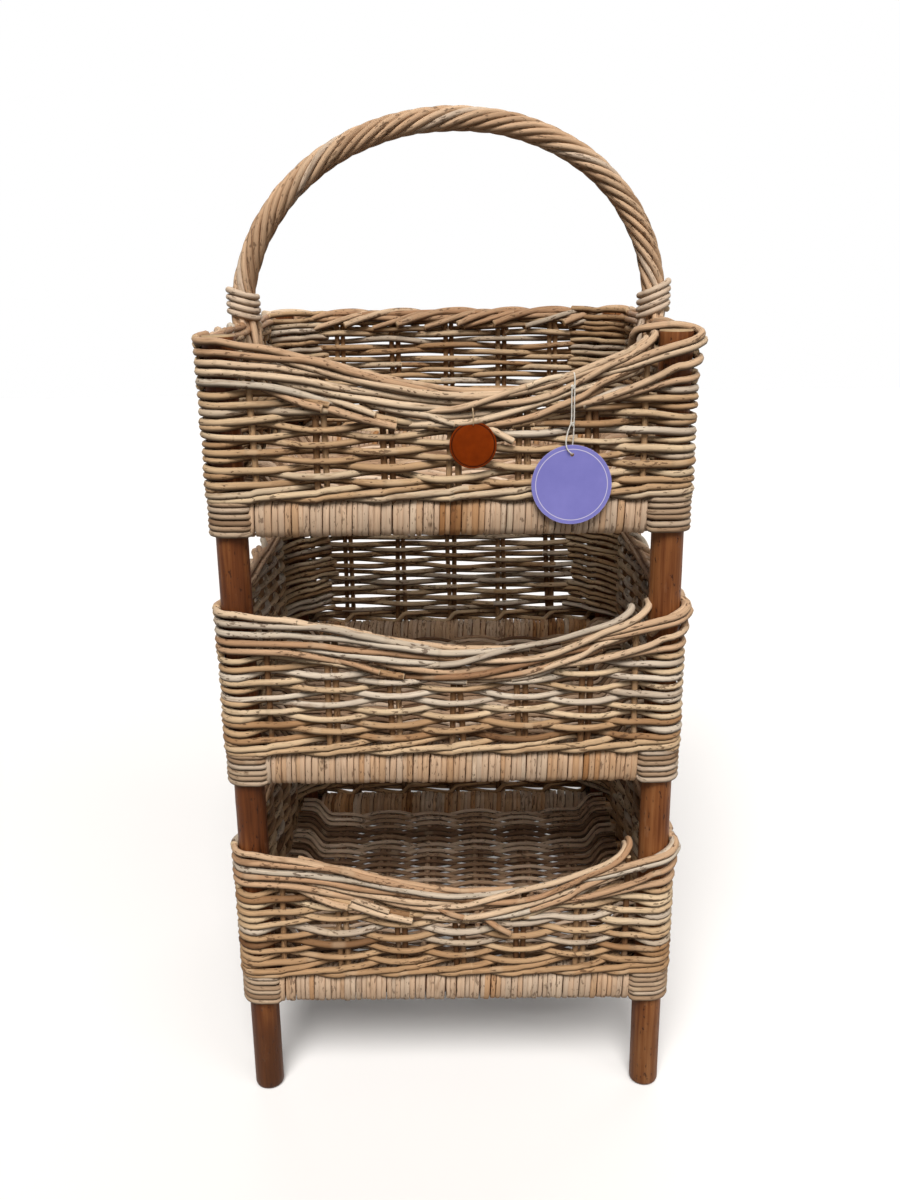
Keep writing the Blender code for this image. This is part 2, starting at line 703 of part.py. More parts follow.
def string_route():
    """The string's route: up from the knot, round the rim cane, down, through the tag, back to the knot."""
    cane = rim_cane_centre(TAG_X)
    loop = string_loop_radius()
    hang = string_front_y()
    knot = cane.z - KNOT_DROP
    pivot = tag_pivot()
    spread = STRING_HALF_SPREAD
    turn = STRING_TURN_RADIUS
    route = [Vector((TAG_X + spread, hang, knot + 0.0009)), Vector((TAG_X + spread, hang, knot + 0.012)),
             Vector((TAG_X + spread, hang, cane.z - 0.014)), Vector((TAG_X + spread, hang, cane.z - 0.005))]
    for step in range(10):
        angle = step * math.pi / 6
        sideways = TAG_X + spread * (1 - 2 * step / 9)
        route.append(Vector((sideways, cane.y - loop * math.cos(angle), cane.z + loop * math.sin(angle))))
    left = TAG_X - spread
    route += [
        Vector((left, cane.y - 0.0032, cane.z - loop - 0.0012)),
        Vector((left, hang, cane.z - loop - 0.0050)),
        Vector((left, hang, cane.z - 0.020)),
        Vector((left, hang, knot + 0.003)),
        Vector((left - 0.0030, hang - 0.0008, knot - 0.007)),
        Vector((left - 0.0046, hang - turn, pivot.z + 0.011)),
        Vector((left - 0.0034, hang - turn - 0.0004, pivot.z + 0.0045)),
        Vector((TAG_X - 0.0012, hang - turn, pivot.z + 0.0008)),
        Vector((TAG_X, hang - turn * 0.55, pivot.z)),
        Vector((TAG_X, hang, pivot.z)),
        Vector((TAG_X, hang + turn * 0.60, pivot.z + 0.0002)),
        Vector((TAG_X + 0.0002, hang + turn, pivot.z + 0.0020)),
        Vector((TAG_X + 0.0006, hang + turn, pivot.z + 0.0090)),
        Vector((TAG_X + 0.0011, hang + turn * 0.45, pivot.z + 0.017)),
        Vector((TAG_X + spread, hang, knot - 0.0009)),
    ]
    return route


def smooth_points(route, count):
    """Evenly spaced points on a smooth curve through a route's own points."""
    fine = []
    padded = [2 * route[0] - route[1]] + route + [2 * route[-1] - route[-2]]
    for before, start, end, after in zip(padded, padded[1:], padded[2:], padded[3:]):
        for step in range(16):
            t = step / 16
            slope = (end - before) * t
            bend = (2 * before - 5 * start + 4 * end - after) * t ** 2
            twist = (3 * start - before - 3 * end + after) * t ** 3
            fine.append(start + 0.5 * (slope + bend + twist))
    fine.append(route[-1])
    lengths = [0.0]
    for first, second in zip(fine, fine[1:]):
        lengths.append(lengths[-1] + (second - first).length)
    points = []
    place = 0
    for index in range(count):
        wanted = lengths[-1] * index / (count - 1)
        while place < len(fine) - 2 and lengths[place + 1] < wanted:
            place += 1
        share = (wanted - lengths[place]) / (lengths[place + 1] - lengths[place])
        points.append(fine[place].lerp(fine[place + 1], share))
    return points, lengths[-1]


def make_hanging_tag(collection):
    """The string turns about the rim cane, and the tag turns in its own plane on the string."""
    cane = rim_cane_centre(TAG_X)
    pivot = tag_pivot()
    points, length = smooth_points(string_route(), STRING_POINTS)
    print(f"tag string: length {length * 1000:.1f} mm")
    string = tube_along("tag_string", [point - cane for point in points], STRING_DIAMETER, collection,
                        "string", resolution=2)
    string.location = cane
    tag = make_tag(collection)
    tag.parent = string
    tag.location = pivot - cane


def build():
    for thing in list(bpy.data.objects):
        bpy.data.objects.remove(thing, do_unlink=True)
    collection = bpy.data.collections.new("rattan_basket_stand")
    cutters = bpy.data.collections.new("cutters")
    bpy.context.scene.collection.children.link(collection)
    bpy.context.scene.collection.children.link(cutters)
    make_posts(collection)
    for tier in range(len(TIERS)):
        make_rails(tier, collection)
        make_lashings(tier, collection)
        make_floor(tier, collection)
        socketed = make_basket(tier, collection, cutters)
    make_handle(collection, cutters, socketed)
    make_bindings(collection)
    make_rim_cane(collection)
    make_patch(collection)
    make_hanging_tag(collection)


build()
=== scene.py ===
import math

import bmesh
import bpy
import numpy as np
from mathutils import Matrix, Vector


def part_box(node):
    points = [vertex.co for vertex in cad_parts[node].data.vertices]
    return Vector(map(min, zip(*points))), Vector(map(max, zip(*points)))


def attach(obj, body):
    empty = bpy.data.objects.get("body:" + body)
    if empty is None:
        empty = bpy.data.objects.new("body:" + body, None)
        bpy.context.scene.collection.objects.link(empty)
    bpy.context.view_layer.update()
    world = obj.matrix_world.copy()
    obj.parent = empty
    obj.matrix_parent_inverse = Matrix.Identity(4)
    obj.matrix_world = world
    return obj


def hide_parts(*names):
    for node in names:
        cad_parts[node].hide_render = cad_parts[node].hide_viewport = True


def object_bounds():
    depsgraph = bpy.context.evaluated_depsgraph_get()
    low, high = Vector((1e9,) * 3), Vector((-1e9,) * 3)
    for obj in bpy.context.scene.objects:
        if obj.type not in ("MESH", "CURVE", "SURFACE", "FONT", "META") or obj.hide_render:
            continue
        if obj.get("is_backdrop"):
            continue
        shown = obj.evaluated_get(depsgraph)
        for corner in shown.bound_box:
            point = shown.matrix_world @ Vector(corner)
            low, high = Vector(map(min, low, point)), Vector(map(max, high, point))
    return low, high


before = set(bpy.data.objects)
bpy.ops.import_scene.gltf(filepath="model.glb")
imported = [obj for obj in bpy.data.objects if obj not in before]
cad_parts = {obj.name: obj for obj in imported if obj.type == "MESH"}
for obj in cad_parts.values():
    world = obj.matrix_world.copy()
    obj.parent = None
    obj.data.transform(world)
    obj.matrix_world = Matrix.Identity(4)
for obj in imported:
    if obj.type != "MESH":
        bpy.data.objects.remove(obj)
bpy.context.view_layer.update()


# The room: a plain white floor that runs into a white surround, lit softly from above, mostly from in
# front and weakly from behind. The camera stands a little above the top basket's rim and looks down.

CAMERA_PLACE = (0.0039, -1.2234, 0.8628)
CAMERA_TILT = math.radians(90 - 17.11)
CAMERA_TURN = 0.0042
CAMERA_ROLL = -0.0126
CAMERA_LENS = 34.01
SENSOR_WIDTH = 36
AMBIENT = 0.04
FLOOR_COLOUR = (0.930, 0.897, 0.865, 1)
FLOOR_UNSEEN = (0.225, 0.216, 0.208, 1)
FLOOR_GLOW = 0.065
FLOOR_HALF_SIZE = 6
FLOOR_DROP = 0.0004
# name, strength, spread of the light and turn of the lamp in degrees
LAMPS = (("key", 3.15, 30, (38, 0, -7)), ("fill", 0.85, 50, (54, 0, 38)), ("back", 0.85, 70, (-58, 0, -12)))


class Wire:
    """One socket in a material's nodes. Arithmetic on it adds Math nodes, and node() adds any other."""

    def __init__(self, tree, socket=None):
        self.tree = tree
        self.socket = socket

    def node(self, kind, settings=None, sockets=None, output=0):
        made = self.tree.nodes.new("ShaderNode" + kind)
        for name, value in (settings or {}).items():
            if name == "stops":
                elements = made.color_ramp.elements
                while len(elements) < len(value):
                    elements.new(1)
                for element, (place, colour) in zip(elements, value):
                    element.position = place
                    element.color = (*colour, 1)
            else:
                setattr(made, name, value)
        for name, value in (sockets or {}).items():
            if isinstance(value, Wire):
                self.tree.links.new(value.socket, made.inputs[name])
            else:
                made.inputs[name].default_value = value
        return Wire(self.tree, made.outputs[output])

    def maths(self, operation, other=0.0, swapped=False):
        pair = (other, self) if swapped else (self, other)
        return self.node("Math", {"operation": operation}, {0: pair[0], 1: pair[1]})

    def __add__(self, other):
        return self.maths("ADD", other)

    def __sub__(self, other):
        return self.maths("SUBTRACT", other)

    def __rsub__(self, other):
        return self.maths("SUBTRACT", other, swapped=True)

    def __mul__(self, other):
        return self.maths("MULTIPLY", other)

    def __pow__(self, other):
        return self.maths("POWER", other)

    __radd__, __rmul__ = __add__, __mul__

    def above(self, low, high):
        """0 below one value, 1 above the other, eased between."""
        return self.node("MapRange", {"interpolation_type": "SMOOTHSTEP"},
                         {"Value": self, "From Min": low, "From Max": high})

    def near(self, place, low, high):
        """1 within the first distance of a place, 0 beyond the second, eased between."""
        return 1 - (self - place).maths("ABSOLUTE").above(low, high)

    def ramp(self, stops):
        """The colour that belongs to this value, from stops of a place and a colour."""
        return self.node("ValToRGB", {"stops": stops}, {"Fac": self})

    def toward(self, colour, share):
        """This colour mixed towards a plain one by a share."""
        return self.node("Mix", {"data_type": "RGBA"}, {0: share, 6: self, 7: (*colour, 1)}, output=2)

    def attribute(self, name, output="Fac"):
        return self.node("Attribute", {"attribute_name": name}, output=output)

    def part(self, axis):
        return self.node("SeparateXYZ", None, {0: self}, output=axis)

    def stretched(self, scale, shift=(0, 0, 0)):
        return self.node("Mapping", None, {"Vector": self, "Scale": scale, "Location": shift})

    def noise(self, scale, detail=2.0, roughness=0.6):
        return self.node("TexNoise", None, {"Vector": self, "Scale": scale, "Detail": detail,
                                            "Roughness": roughness}, output="Fac")


scene = bpy.context.scene
scene.view_settings.view_transform = "Standard"


def show(name, data):
    made = bpy.data.objects.new(name, data)
    scene.collection.objects.link(made)
    return made


def as_mesh(name, bm):
    mesh = bpy.data.meshes.new(name)
    bm.to_mesh(mesh)
    bm.free()
    return mesh


def new_wire(name):
    material = bpy.data.materials.new(name)
    material.use_nodes = True
    return material, Wire(material.node_tree)


def seen_directly(wire):
    """1 for what the camera sees, straight or in gloss or glass, 0 for light that only falls on things."""
    camera_ray = wire.node("LightPath", output="Is Camera Ray")
    glossy_ray = wire.node("LightPath", output="Is Glossy Ray")
    through_ray = wire.node("LightPath", output="Is Transmission Ray")
    return camera_ray.maths("MAXIMUM", glossy_ray).maths("MAXIMUM", through_ray)


camera_data = bpy.data.cameras.new("camera")
camera_data.lens = CAMERA_LENS
camera_data.sensor_width = SENSOR_WIDTH
scene.camera = show("camera", camera_data)
scene.camera.matrix_world = (Matrix.Translation(CAMERA_PLACE) @ Matrix.Rotation(CAMERA_TURN, 4, "Z")
                             @ Matrix.Rotation(CAMERA_TILT, 4, "X") @ Matrix.Rotation(CAMERA_ROLL, 4, "Z"))

for name, strength, spread, turn in LAMPS:
    lamp_data = bpy.data.lights.new(name, "SUN")
    lamp_data.energy = strength
    lamp_data.angle = math.radians(spread)
    show(name, lamp_data).rotation_euler = [math.radians(angle) for angle in turn]

scene.world = bpy.data.worlds.new("surround")
scene.world.use_nodes = True
sky = Wire(scene.world.node_tree)
background = sky.tree.nodes["Background"].inputs
background["Color"].default_value = (1, 1, 1, 1)
sky.tree.links.new((AMBIENT + (1 - AMBIENT) * seen_directly(sky)).socket, background["Strength"])

floor_material, wire = new_wire("white_floor")
wire.tree.nodes.remove(wire.tree.nodes["Principled BSDF"])
seen = seen_directly(wire)
lit = wire.node("BsdfDiffuse", None, {"Color": FLOOR_COLOUR})
glow = wire.node("Emission", None, {"Strength": seen * FLOOR_GLOW})
white = wire.node("AddShader", None, {0: lit, 1: glow})
dim = wire.node("BsdfDiffuse", None, {"Color": FLOOR_UNSEEN})
both = wire.node("MixShader", None, {0: seen, 1: dim, 2: white})
wire.tree.links.new(both.socket, wire.tree.nodes["Material Output"].inputs["Surface"])

bm = bmesh.new()
bmesh.ops.create_grid(bm, x_segments=2, y_segments=2, size=FLOOR_HALF_SIZE)
bmesh.ops.translate(bm, vec=(0, 0, -FLOOR_DROP), verts=bm.verts)
floor = show("white_floor", as_mesh("white_floor", bm))
floor.data.materials.append(floor_material)
floor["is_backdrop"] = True


# The posts: four rattan poles with their brown bark on, full height, with the faint rings where leaves
# grew. They are sawn flat at the top, where the pale wood shows, and rounded a little at the foot.

HALF_X = 0.203
HALF_Y = 0.195
POSTS = (("front_left", -1, -1), ("front_right", 1, -1), ("back_right", 1, 1), ("back_left", -1, 1))
POST_RADIUS = 0.01525
POST_HEIGHT = 0.794
POST_SIDES = 32
POST_RINGS = 80
POST_FOOT = ((0.0, 0.80), (0.0016, 0.93), (0.0040, 0.985))
POST_TOP = (POST_HEIGHT, 0.965)
SAWN_EDGE = 0.0012
# some of the rings come out above the top, and don't show
LEAF_RINGS = 9
LEAF_RING_SWELL = 0.0176
LEAF_RING_SPREAD = 0.0045
PALER_BARK = {-1: 0.1, 1: 0.9}
BARK_STOPS = ((0.34, (0.060, 0.017, 0.005)), (0.48, (0.135, 0.040, 0.012)), (0.58, (0.240, 0.086, 0.027)),
              (0.72, (0.360, 0.158, 0.060)))

random = np.random.default_rng(11)


def put(name, mesh, body, replaced, material):
    """Show a finished mesh as a piece of the stand."""
    mesh.materials.append(material)
    piece = show(name, mesh)
    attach(piece, body)
    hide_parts(*replaced)


def finish(colour, roughness, height, depth, shine=0.5):
    """Join a colour, a roughness and a bump height to their material's shader."""
    shader = colour.tree.nodes["Principled BSDF"].inputs
    bump = colour.node("Bump", None, {"Height": height, "Distance": depth, "Strength": 1.0})
    for socket, value in (("Base Color", colour), ("Roughness", roughness), ("Normal", bump)):
        colour.tree.links.new(value.socket, shader[socket])
    shader["Specular IOR Level"].default_value = shine


def bark_material(name):
    material, wire = new_wire(name)
    place = wire.node("TexCoord", output="Object")
    streaks = place.stretched((240, 240, 9)).noise(1.0, 4.0)
    clouds = place.stretched((26, 26, 7)).noise(1.0, 3.0)
    specks = place.stretched((330, 330, 120)).noise(1.0).above(0.62, 0.70)
    scuffs = place.stretched((60, 60, 22), (3, 1, 7)).noise(1.0, 4.0, 0.7).above(0.60, 0.74)
    height = place.part("Z")
    paler = wire.attribute("tint")
    legs = 1 - height.above(0.060, 0.125)
    sawn = height.above(POST_HEIGHT - SAWN_EDGE, POST_HEIGHT - SAWN_EDGE / 2)
    colour = (streaks * 0.45 + clouds * 0.45 + paler * 0.15).ramp(BARK_STOPS)
    colour = colour.toward((0.030, 0.010, 0.005), specks * 0.75)
    colour = colour.toward((0.36, 0.19, 0.10), scuffs * 0.30)
    colour = colour.toward((0.075, 0.030, 0.013), legs * (0.62 - 0.35 * paler))
    colour = colour.toward((0.52, 0.36, 0.20), sawn * (0.55 + 0.6 * streaks))
    rough = 0.36 + 0.22 * clouds + 0.25 * sawn
    finish(colour, rough, streaks * 0.4 + specks * -0.8 + clouds, 0.0005, shine=0.12)
    return material


def post_profile():
    """Heights and widths of one post, its widths in shares of its radius, with a swelling at each ring."""
    rings_at = np.cumsum(random.uniform(0.13, 0.25, LEAF_RINGS))
    profile = list(POST_FOOT)
    for height in np.linspace(0.012, POST_HEIGHT - SAWN_EDGE, POST_RINGS):
        swell = np.exp(-((height - rings_at) / LEAF_RING_SPREAD) ** 2).sum()
        profile.append((height, 0.985 + LEAF_RING_SWELL * swell))
    return profile + [POST_TOP]


def make_post(name, across, away, material):
    profile = post_profile()
    bm = bmesh.new()
    bmesh.ops.create_circle(bm, cap_ends=False, segments=POST_SIDES, radius=POST_RADIUS * profile[0][1])
    foot_edges = edges = list(bm.edges)
    for (_, last), (height, share) in zip(profile, profile[1:]):
        grown = bmesh.ops.extrude_edge_only(bm, edges=edges)["geom"]
        verts = {item for item in grown if isinstance(item, bmesh.types.BMVert)}
        edges = [item for item in grown
                 if isinstance(item, bmesh.types.BMEdge) and verts.issuperset(item.verts)]
        bmesh.ops.scale(bm, vec=(share / last, share / last, 1), verts=list(verts))
        for vert in verts:
            vert.co.z = height
    bmesh.ops.edgeloop_fill(bm, edges=edges)
    bmesh.ops.edgeloop_fill(bm, edges=foot_edges)
    bmesh.ops.translate(bm, vec=(across * HALF_X, away * HALF_Y, 0), verts=bm.verts)
    bmesh.ops.recalc_face_normals(bm, faces=bm.faces)
    mesh = as_mesh(name, bm)
    mesh.shade_smooth()
    tint = np.full(len(mesh.vertices), PALER_BARK[across], np.float32)
    mesh.attributes.new("tint", "FLOAT", "POINT").data.foreach_set("value", tint)
    put(name + "_bark", mesh, "stand", [name], material)


bark = bark_material("brown_bark")
for corner, across, away in POSTS:
    make_post("post_" + corner, across, away, bark)


# The rail poles: short poles that cross between the posts, twelve in all, quite hidden in their wrapping.
# They keep the plain round shape of the frame and take the posts' bark.

TIERS = ("bottom", "middle", "top")
SIDES = ("front", "back", "left", "right")

for tier_name in TIERS:
    for side in SIDES:
        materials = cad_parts[f"rail_pole_{tier_name}_{side}"].data.materials
        materials.clear()
        materials.append(bark)


# The rail wraps: one long flat cane wound close round each rail pole, some seventy turns, its round skin
# outwards. The turns differ in width and colour, and a few lean or leave a dark gap.

RAIL_CENTRES = (0.1285, 0.3795, 0.6305)
WRAP_INNER = 0.0146
WRAP_THICK = 0.0029
WRAP_PITCH = 0.0053
WRAP_STATIONS = 16
WRAP_HANG = 1.12
WRAP_LEAN = 0.0004
WRAP_LIFT = 0.0002
LASHED_LENGTH = 0.0030
CANE_SIDES = 8
CUT_RING = 0.0005
CUT_PALE = 0.0009
CUT_ROUNDED = 0.86

WRAP_STOPS = ((0.0, (0.240, 0.105, 0.040)), (0.14, (0.460, 0.225, 0.090)), (0.34, (0.560, 0.345, 0.195)),
              (0.55, (0.615, 0.420, 0.275)), (0.78, (0.560, 0.412, 0.290)), (1.0, (0.760, 0.572, 0.398)))
RUN_TINTS = ((0.16, 0.34, 0.45, 0.62, 0.75, 0.80), (0.15, 0.34, 0.48, 0.60, 0.78, 0.92),
             (0.18, 0.50, 0.62, 0.80, 0.92, 1.00))
# the flat cane's outline: how far out from the pole, in shares of its thickness, and where in its width
RIBBON = ((1.0, 0.0), (0.95, 0.33), (0.72, 0.46), (0.20, 0.50), (0.0, 0.0), (0.20, -0.50), (0.72, -0.46),
          (0.95, -0.33))


def unit(vectors):
    return vectors / np.linalg.norm(vectors, axis=-1, keepdims=True)


def run_along(line):
    """The length of a line up to each of its points."""
    return np.r_[0, np.cumsum(np.linalg.norm(np.diff(line, axis=0), axis=1))]


class CaneWork:
    """Canes laid one after another into one mesh: each is a straight closed cane, bent onto its own line."""

    straight = {}

    def __init__(self, tone=0.0):
        self.tone = tone
        self.bm = bmesh.new()
        self.places, self.grain, self.tint, self.cut = [], [], [], []

    def straight_cane(self, stations, sides):
        """A straight cane along Z, and each of its vertices' station and side."""
        if (stations, sides) not in self.straight:
            bm = bmesh.new()
            bmesh.ops.create_cone(bm, cap_ends=True, segments=sides, radius1=1, radius2=1, depth=2)
            long_edges = [e for e in bm.edges if abs(e.verts[0].co.z - e.verts[1].co.z) > 1]
            bmesh.ops.subdivide_edges(bm, edges=long_edges, cuts=stations - 2)
            co = np.array([v.co for v in bm.verts])
            station = np.rint((co[:, 2] + 1) / 2 * (stations - 1)).astype(int)
            turn = np.arctan2(co[:, 1], co[:, 0])
            side = np.rint((turn - turn[0]) / (2 * math.pi / sides)).astype(int) % sides
            self.straight[stations, sides] = (as_mesh("straight_cane", bm), station, side)
        return self.straight[stations, sides]

    def lay(self, line, radius, tint, section=None, sides=CANE_SIDES, ends=True):
        """Bend a cane onto a line. A section lists its outline's points in shares of the radius."""
        line = np.asarray(line, float)
        first, last = unit(line[1] - line[0]), unit(line[-1] - line[-2])
        line = np.vstack([line[0], line[0] + CUT_RING * first, line[0] + CUT_PALE * first, line[1:-1],
                          line[-1] - CUT_PALE * last, line[-1] - CUT_RING * last, line[-1]])
        radius, tint = (np.pad(np.broadcast_to(value, len(line) - 4).astype(float), 2, mode="edge")
                        for value in (radius, tint + self.tone))
        radius[[0, -1]] *= CUT_ROUNDED
        cut = np.zeros(len(line))
        cut[[0, 1, -2, -1]] = ends
        tangent = unit(np.gradient(line, axis=0))
        reference = np.eye(3)[np.argmin(np.abs(tangent).max(axis=0))]
        sideways = unit(np.cross(reference, tangent))
        upward = np.cross(tangent, sideways)
        if section is None:
            turns = 2 * math.pi * np.arange(sides) / sides
            section = np.stack([np.cos(turns), np.sin(turns)], axis=1)
        section = np.asarray(section, float)
        mesh, station, side = self.straight_cane(len(line), len(section))
        self.bm.from_mesh(mesh)
        offset = section[side] * radius[station, None]
        self.places.append(line[station] + sideways[station] * offset[:, :1]
                           + upward[station] * offset[:, 1:])
        start = random.uniform(0, 40)
        self.grain.append(np.column_stack([run_along(line)[station] + start, offset]))
        self.tint.append(tint[station])
        self.cut.append(cut[station])

    def piece(self, name, slot, replaced, material):
        mesh = as_mesh(name, self.bm)
        mesh.vertices.foreach_set("co", np.concatenate(self.places).ravel())
        for label, kind, field, values in (("grain", "FLOAT_VECTOR", "vector", self.grain),
                                           ("tint", "FLOAT", "value", self.tint),
                                           ("cut", "FLOAT", "value", self.cut)):
            layer = mesh.attributes.new(label, kind, "POINT")
            layer.data.foreach_set(field, np.concatenate(values).astype(np.float32).ravel())
        mesh.shade_smooth()
        mesh.update()
        put(name, mesh, "stand", replaced, material)


def cane_material(name, stops, streak=0.28, speck=0.62, ring_spacing=5.0, underside_shade=0.72):
    """Dry cane: its own tint, long streaks, dark flecks of bark, a ring at each node, pale cut ends, and
    painted shade where it faces down.
    """
    material, wire = new_wire(name)
    grain = wire.attribute("grain", "Vector")
    tint = wire.attribute("tint")
    cut = wire.attribute("cut")
    fine = grain.stretched((30, 900, 900)).noise(1.0, 3.0)
    broad = grain.stretched((14, 160, 160), (5, 0, 3)).noise(1.0, 3.0)
    dots = grain.stretched((150, 400, 400), (1, 9, 4)).noise(1.0)
    patches = grain.stretched((26, 60, 60), (4, 2, 9)).noise(1.0, 2.0, 0.5).above(0.42, 0.66)
    fleck = (dots + 0.12 * patches).above(0.660, 0.705)
    stain = grain.stretched((24, 140, 140), (8, 2, 6)).noise(1.0, 4.0, 0.7).above(0.56, 0.70)
    drift = grain.stretched((3, 0, 0)).noise(1.0, 1.0, 0.5)
    node_phase = (grain.part("X") * ring_spacing + drift * 2.0).maths("FRACT")
    ring = node_phase.near(0.5, 0.002, 0.012)
    band = node_phase.near(0.53, 0.020, 0.050)
    shade = fine * streak * 2 + broad * 0.30 + (1 - streak - 0.15)
    shade = shade.node("CombineColor", None, {0: shade, 1: shade, 2: shade})
    colour = shade.node("Mix", {"data_type": "RGBA", "blend_type": "MULTIPLY"},
                        {0: 1.0, 6: tint.ramp(stops), 7: shade}, output=2)
    # painted shade: the colour is darkened where the cane's surface faces down, by the share of painted
    # underside shade passed in
    under = 1 - wire.node("TexCoord", output="Normal").part("Z").above(-0.90, 0.30)
    colour = colour.toward((0.66, 0.50, 0.33), band * 0.22)
    colour = colour.toward((0.034, 0.016, 0.007), under * underside_shade)
    colour = colour.toward((0.19, 0.092, 0.040), stain * 0.48)
    colour = colour.toward((0.075, 0.032, 0.014), fleck * speck)
    colour = colour.toward((0.10, 0.052, 0.026), ring * (0.15 + 0.75 * stain))
    colour = colour.toward((0.66, 0.48, 0.29), cut * (0.55 + 0.5 * fine))
    rough = 0.50 + 0.20 * fine + 0.12 * stain + 0.2 * cut
    finish(colour, rough, fine * 0.7 + broad * 0.9 + band * 0.7 - fleck * 0.5, 0.0005, shine=0.10)
    return material


def wrap_tints(turns, tier):
    """Colours drift in runs of like turns, with odd ones between."""
    tints = []
    run_tint = 0.5
    for _ in range(turns):
        if random.random() < 0.20:
            run_tint = random.choice(RUN_TINTS[tier])
        tints.append(np.clip(run_tint + random.normal(0, 0.10), 0, 1))
    return np.array(tints)


def wrap_rail(work, tier, side):
    """One flat cane wound from end to end of a rail, wider and narrower from turn to turn."""
    low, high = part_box(f"rail_wrap_{TIERS[tier]}_{side}")
    along = 0 if side in ("front", "back") else 1
    centre = [(low[i] + high[i]) / 2 for i in range(3)]
    half = (high[along] - low[along]) / 2 - LASHED_LENGTH
    turns = int(2 * half / WRAP_PITCH)
    widths = random.uniform(0.80, 1.24, turns)
    widths *= 2 * half / widths.sum()
    tints = wrap_tints(turns, tier)
    angle = np.arange(turns * WRAP_STATIONS + 1) / WRAP_STATIONS
    turn = np.minimum(angle.astype(int), turns - 1)
    each_turn, each_half_turn = np.arange(turns + 1), np.linspace(0, turns, 2 * turns + 1)
    middle = np.interp(angle, each_turn, np.r_[0, np.cumsum(widths)] - half)
    middle += WRAP_LEAN * np.interp(angle, each_half_turn, random.normal(0, 1, 2 * turns + 1))
    # the seam between two turns' colours faces down
    spin = 2 * math.pi * angle - math.pi / 2
    lift = WRAP_INNER + WRAP_LIFT * np.interp(angle, each_turn, random.uniform(-1, 1, turns + 1))
    # each turn is drawn flat over the front, the top and the under side, and hangs a little below the pole
    flat_out, flat_up = (np.sign(share) * np.sqrt(np.abs(share)) for share in (np.cos(spin), np.sin(spin)))
    line = np.zeros((len(angle), 3))
    line[:, along] = centre[along] + middle
    line[:, 1 - along] = centre[1 - along] + lift * flat_out * (1 if along else -1)
    line[:, 2] = centre[2] + lift * np.where(flat_up < 0, WRAP_HANG, 1.0) * flat_up
    thick = WRAP_THICK / float(np.mean(widths[turn]))
    section = [(out * thick, share) for out, share in RIBBON]
    work.lay(line, widths[turn], tints[turn], section, ends=False)


wrap_cane = cane_material("wrapped_flat_cane", WRAP_STOPS, 0.30, 0.60, ring_spacing=1.3, underside_shade=0.10)
for tier, tier_name in enumerate(TIERS):
    for side in SIDES:
        work = CaneWork()
        wrap_rail(work, tier, side)
        node = f"rail_wrap_{tier_name}_{side}"
        work.piece(node + "_turns", "wrapped_cane", [node], wrap_cane)


# The corner lashings: six turns of split cane that go round the outside of each post from one rail to the
# next, pulled tight one above the other. Their ends run in under the first turns of the rail wraps.

LASHING_TURNS = 6
LASHING_PITCH = 0.0057
LASHING_RADIUS = 0.0029
LASHING_REACH = 0.0065
LASHING_SINK = 0.0085
LASHING_STOPS = ((0.0, (0.190, 0.108, 0.058)), (0.30, (0.340, 0.218, 0.130)), (0.60, (0.455, 0.325, 0.215)),
                 (1.0, (0.510, 0.395, 0.290)))


def evenly(fine, spacing):
    run = run_along(fine)
    wanted = np.linspace(0, run[-1], max(int(round(run[-1] / spacing)), 3) + 1)
    return np.column_stack([np.interp(wanted, run, fine[:, axis]) for axis in range(3)])


def smooth_line(route, spacing):
    """Evenly spaced points on a smooth curve through a route's own points."""
    route = np.asarray(route, float)
    padded = np.vstack([2 * route[0] - route[1], route, 2 * route[-1] - route[-2]])
    before, start, end, after = (padded[i:len(padded) - 3 + i, None, :] for i in range(4))
    t = np.linspace(0, 1, 12, endpoint=False)[None, :, None]
    fine = 0.5 * (2 * start + (end - before) * t + (2 * before - 5 * start + 4 * end - after) * t ** 2
                  + (3 * start - before - 3 * end + after) * t ** 3)
    return evenly(np.vstack([fine.reshape(-1, 3), route[-1]]), spacing)


def lashing_line(tier, across, away, turn):
    """One turn: in under the front wrap, round the post, and in under the side wrap."""
    rise = (turn - (LASHING_TURNS - 1) / 2) * LASHING_PITCH
    hug = POST_RADIUS + LASHING_RADIUS * 0.92 + 0.0002
    sink = LASHING_SINK * min(1.0, abs(rise) / 0.012 + 0.35)
    tucked = ((LASHING_REACH, 1.0), (LASHING_REACH * 0.55, 0.35), (0.0, 0.0))
    spots = [(HALF_X - POST_RADIUS - step, HALF_Y + hug - sink * share) for step, share in tucked]
    for angle in np.radians(np.linspace(90, 0, 9)):
        spots.append((HALF_X + hug * math.cos(angle), HALF_Y + hug * math.sin(angle)))
    spots += [(HALF_X + hug - sink * share, HALF_Y - POST_RADIUS - step) for step, share in reversed(tucked)]
    heights = RAIL_CENTRES[tier] + rise + np.linspace(*random.normal(0, 0.0005, 2), len(spots))
    heights[[0, -1]] -= rise * 0.22
    return smooth_line(np.column_stack([np.array(spots) * (across, away), heights]), 0.0035)


lashing_cane = cane_material("split_lashing_cane", LASHING_STOPS, 0.30, 0.50)
for tier, tier_name in enumerate(TIERS):
    for corner, across, away in POSTS:
        work = CaneWork()
        for turn in range(LASHING_TURNS):
            radius = LASHING_RADIUS * random.uniform(0.93, 1.05)
            work.lay(lashing_line(tier, across, away, turn), radius, random.uniform(0.1, 1.0), ends=False)
        node = f"lashing_{tier_name}_{corner}"
        work.piece(node + "_canes", "wrapped_cane", [node], lashing_cane)


# The floors: round weavers that run from side to side, over and under pairs of cane battens. They lie
# between the front and back rails, and their ends rise over the side rails' wraps.

FLOOR_TOPS = (0.130, 0.381, 0.632)
FLOOR_MIDDLE_BELOW_TOP = 0.0030
FLOOR_HALF_X = 0.2045
FLOOR_HALF_Y = 0.1768
FLOOR_PITCH = 0.0070
FLOOR_WAVE = 0.0044
FLOOR_RADIUS = 0.0028
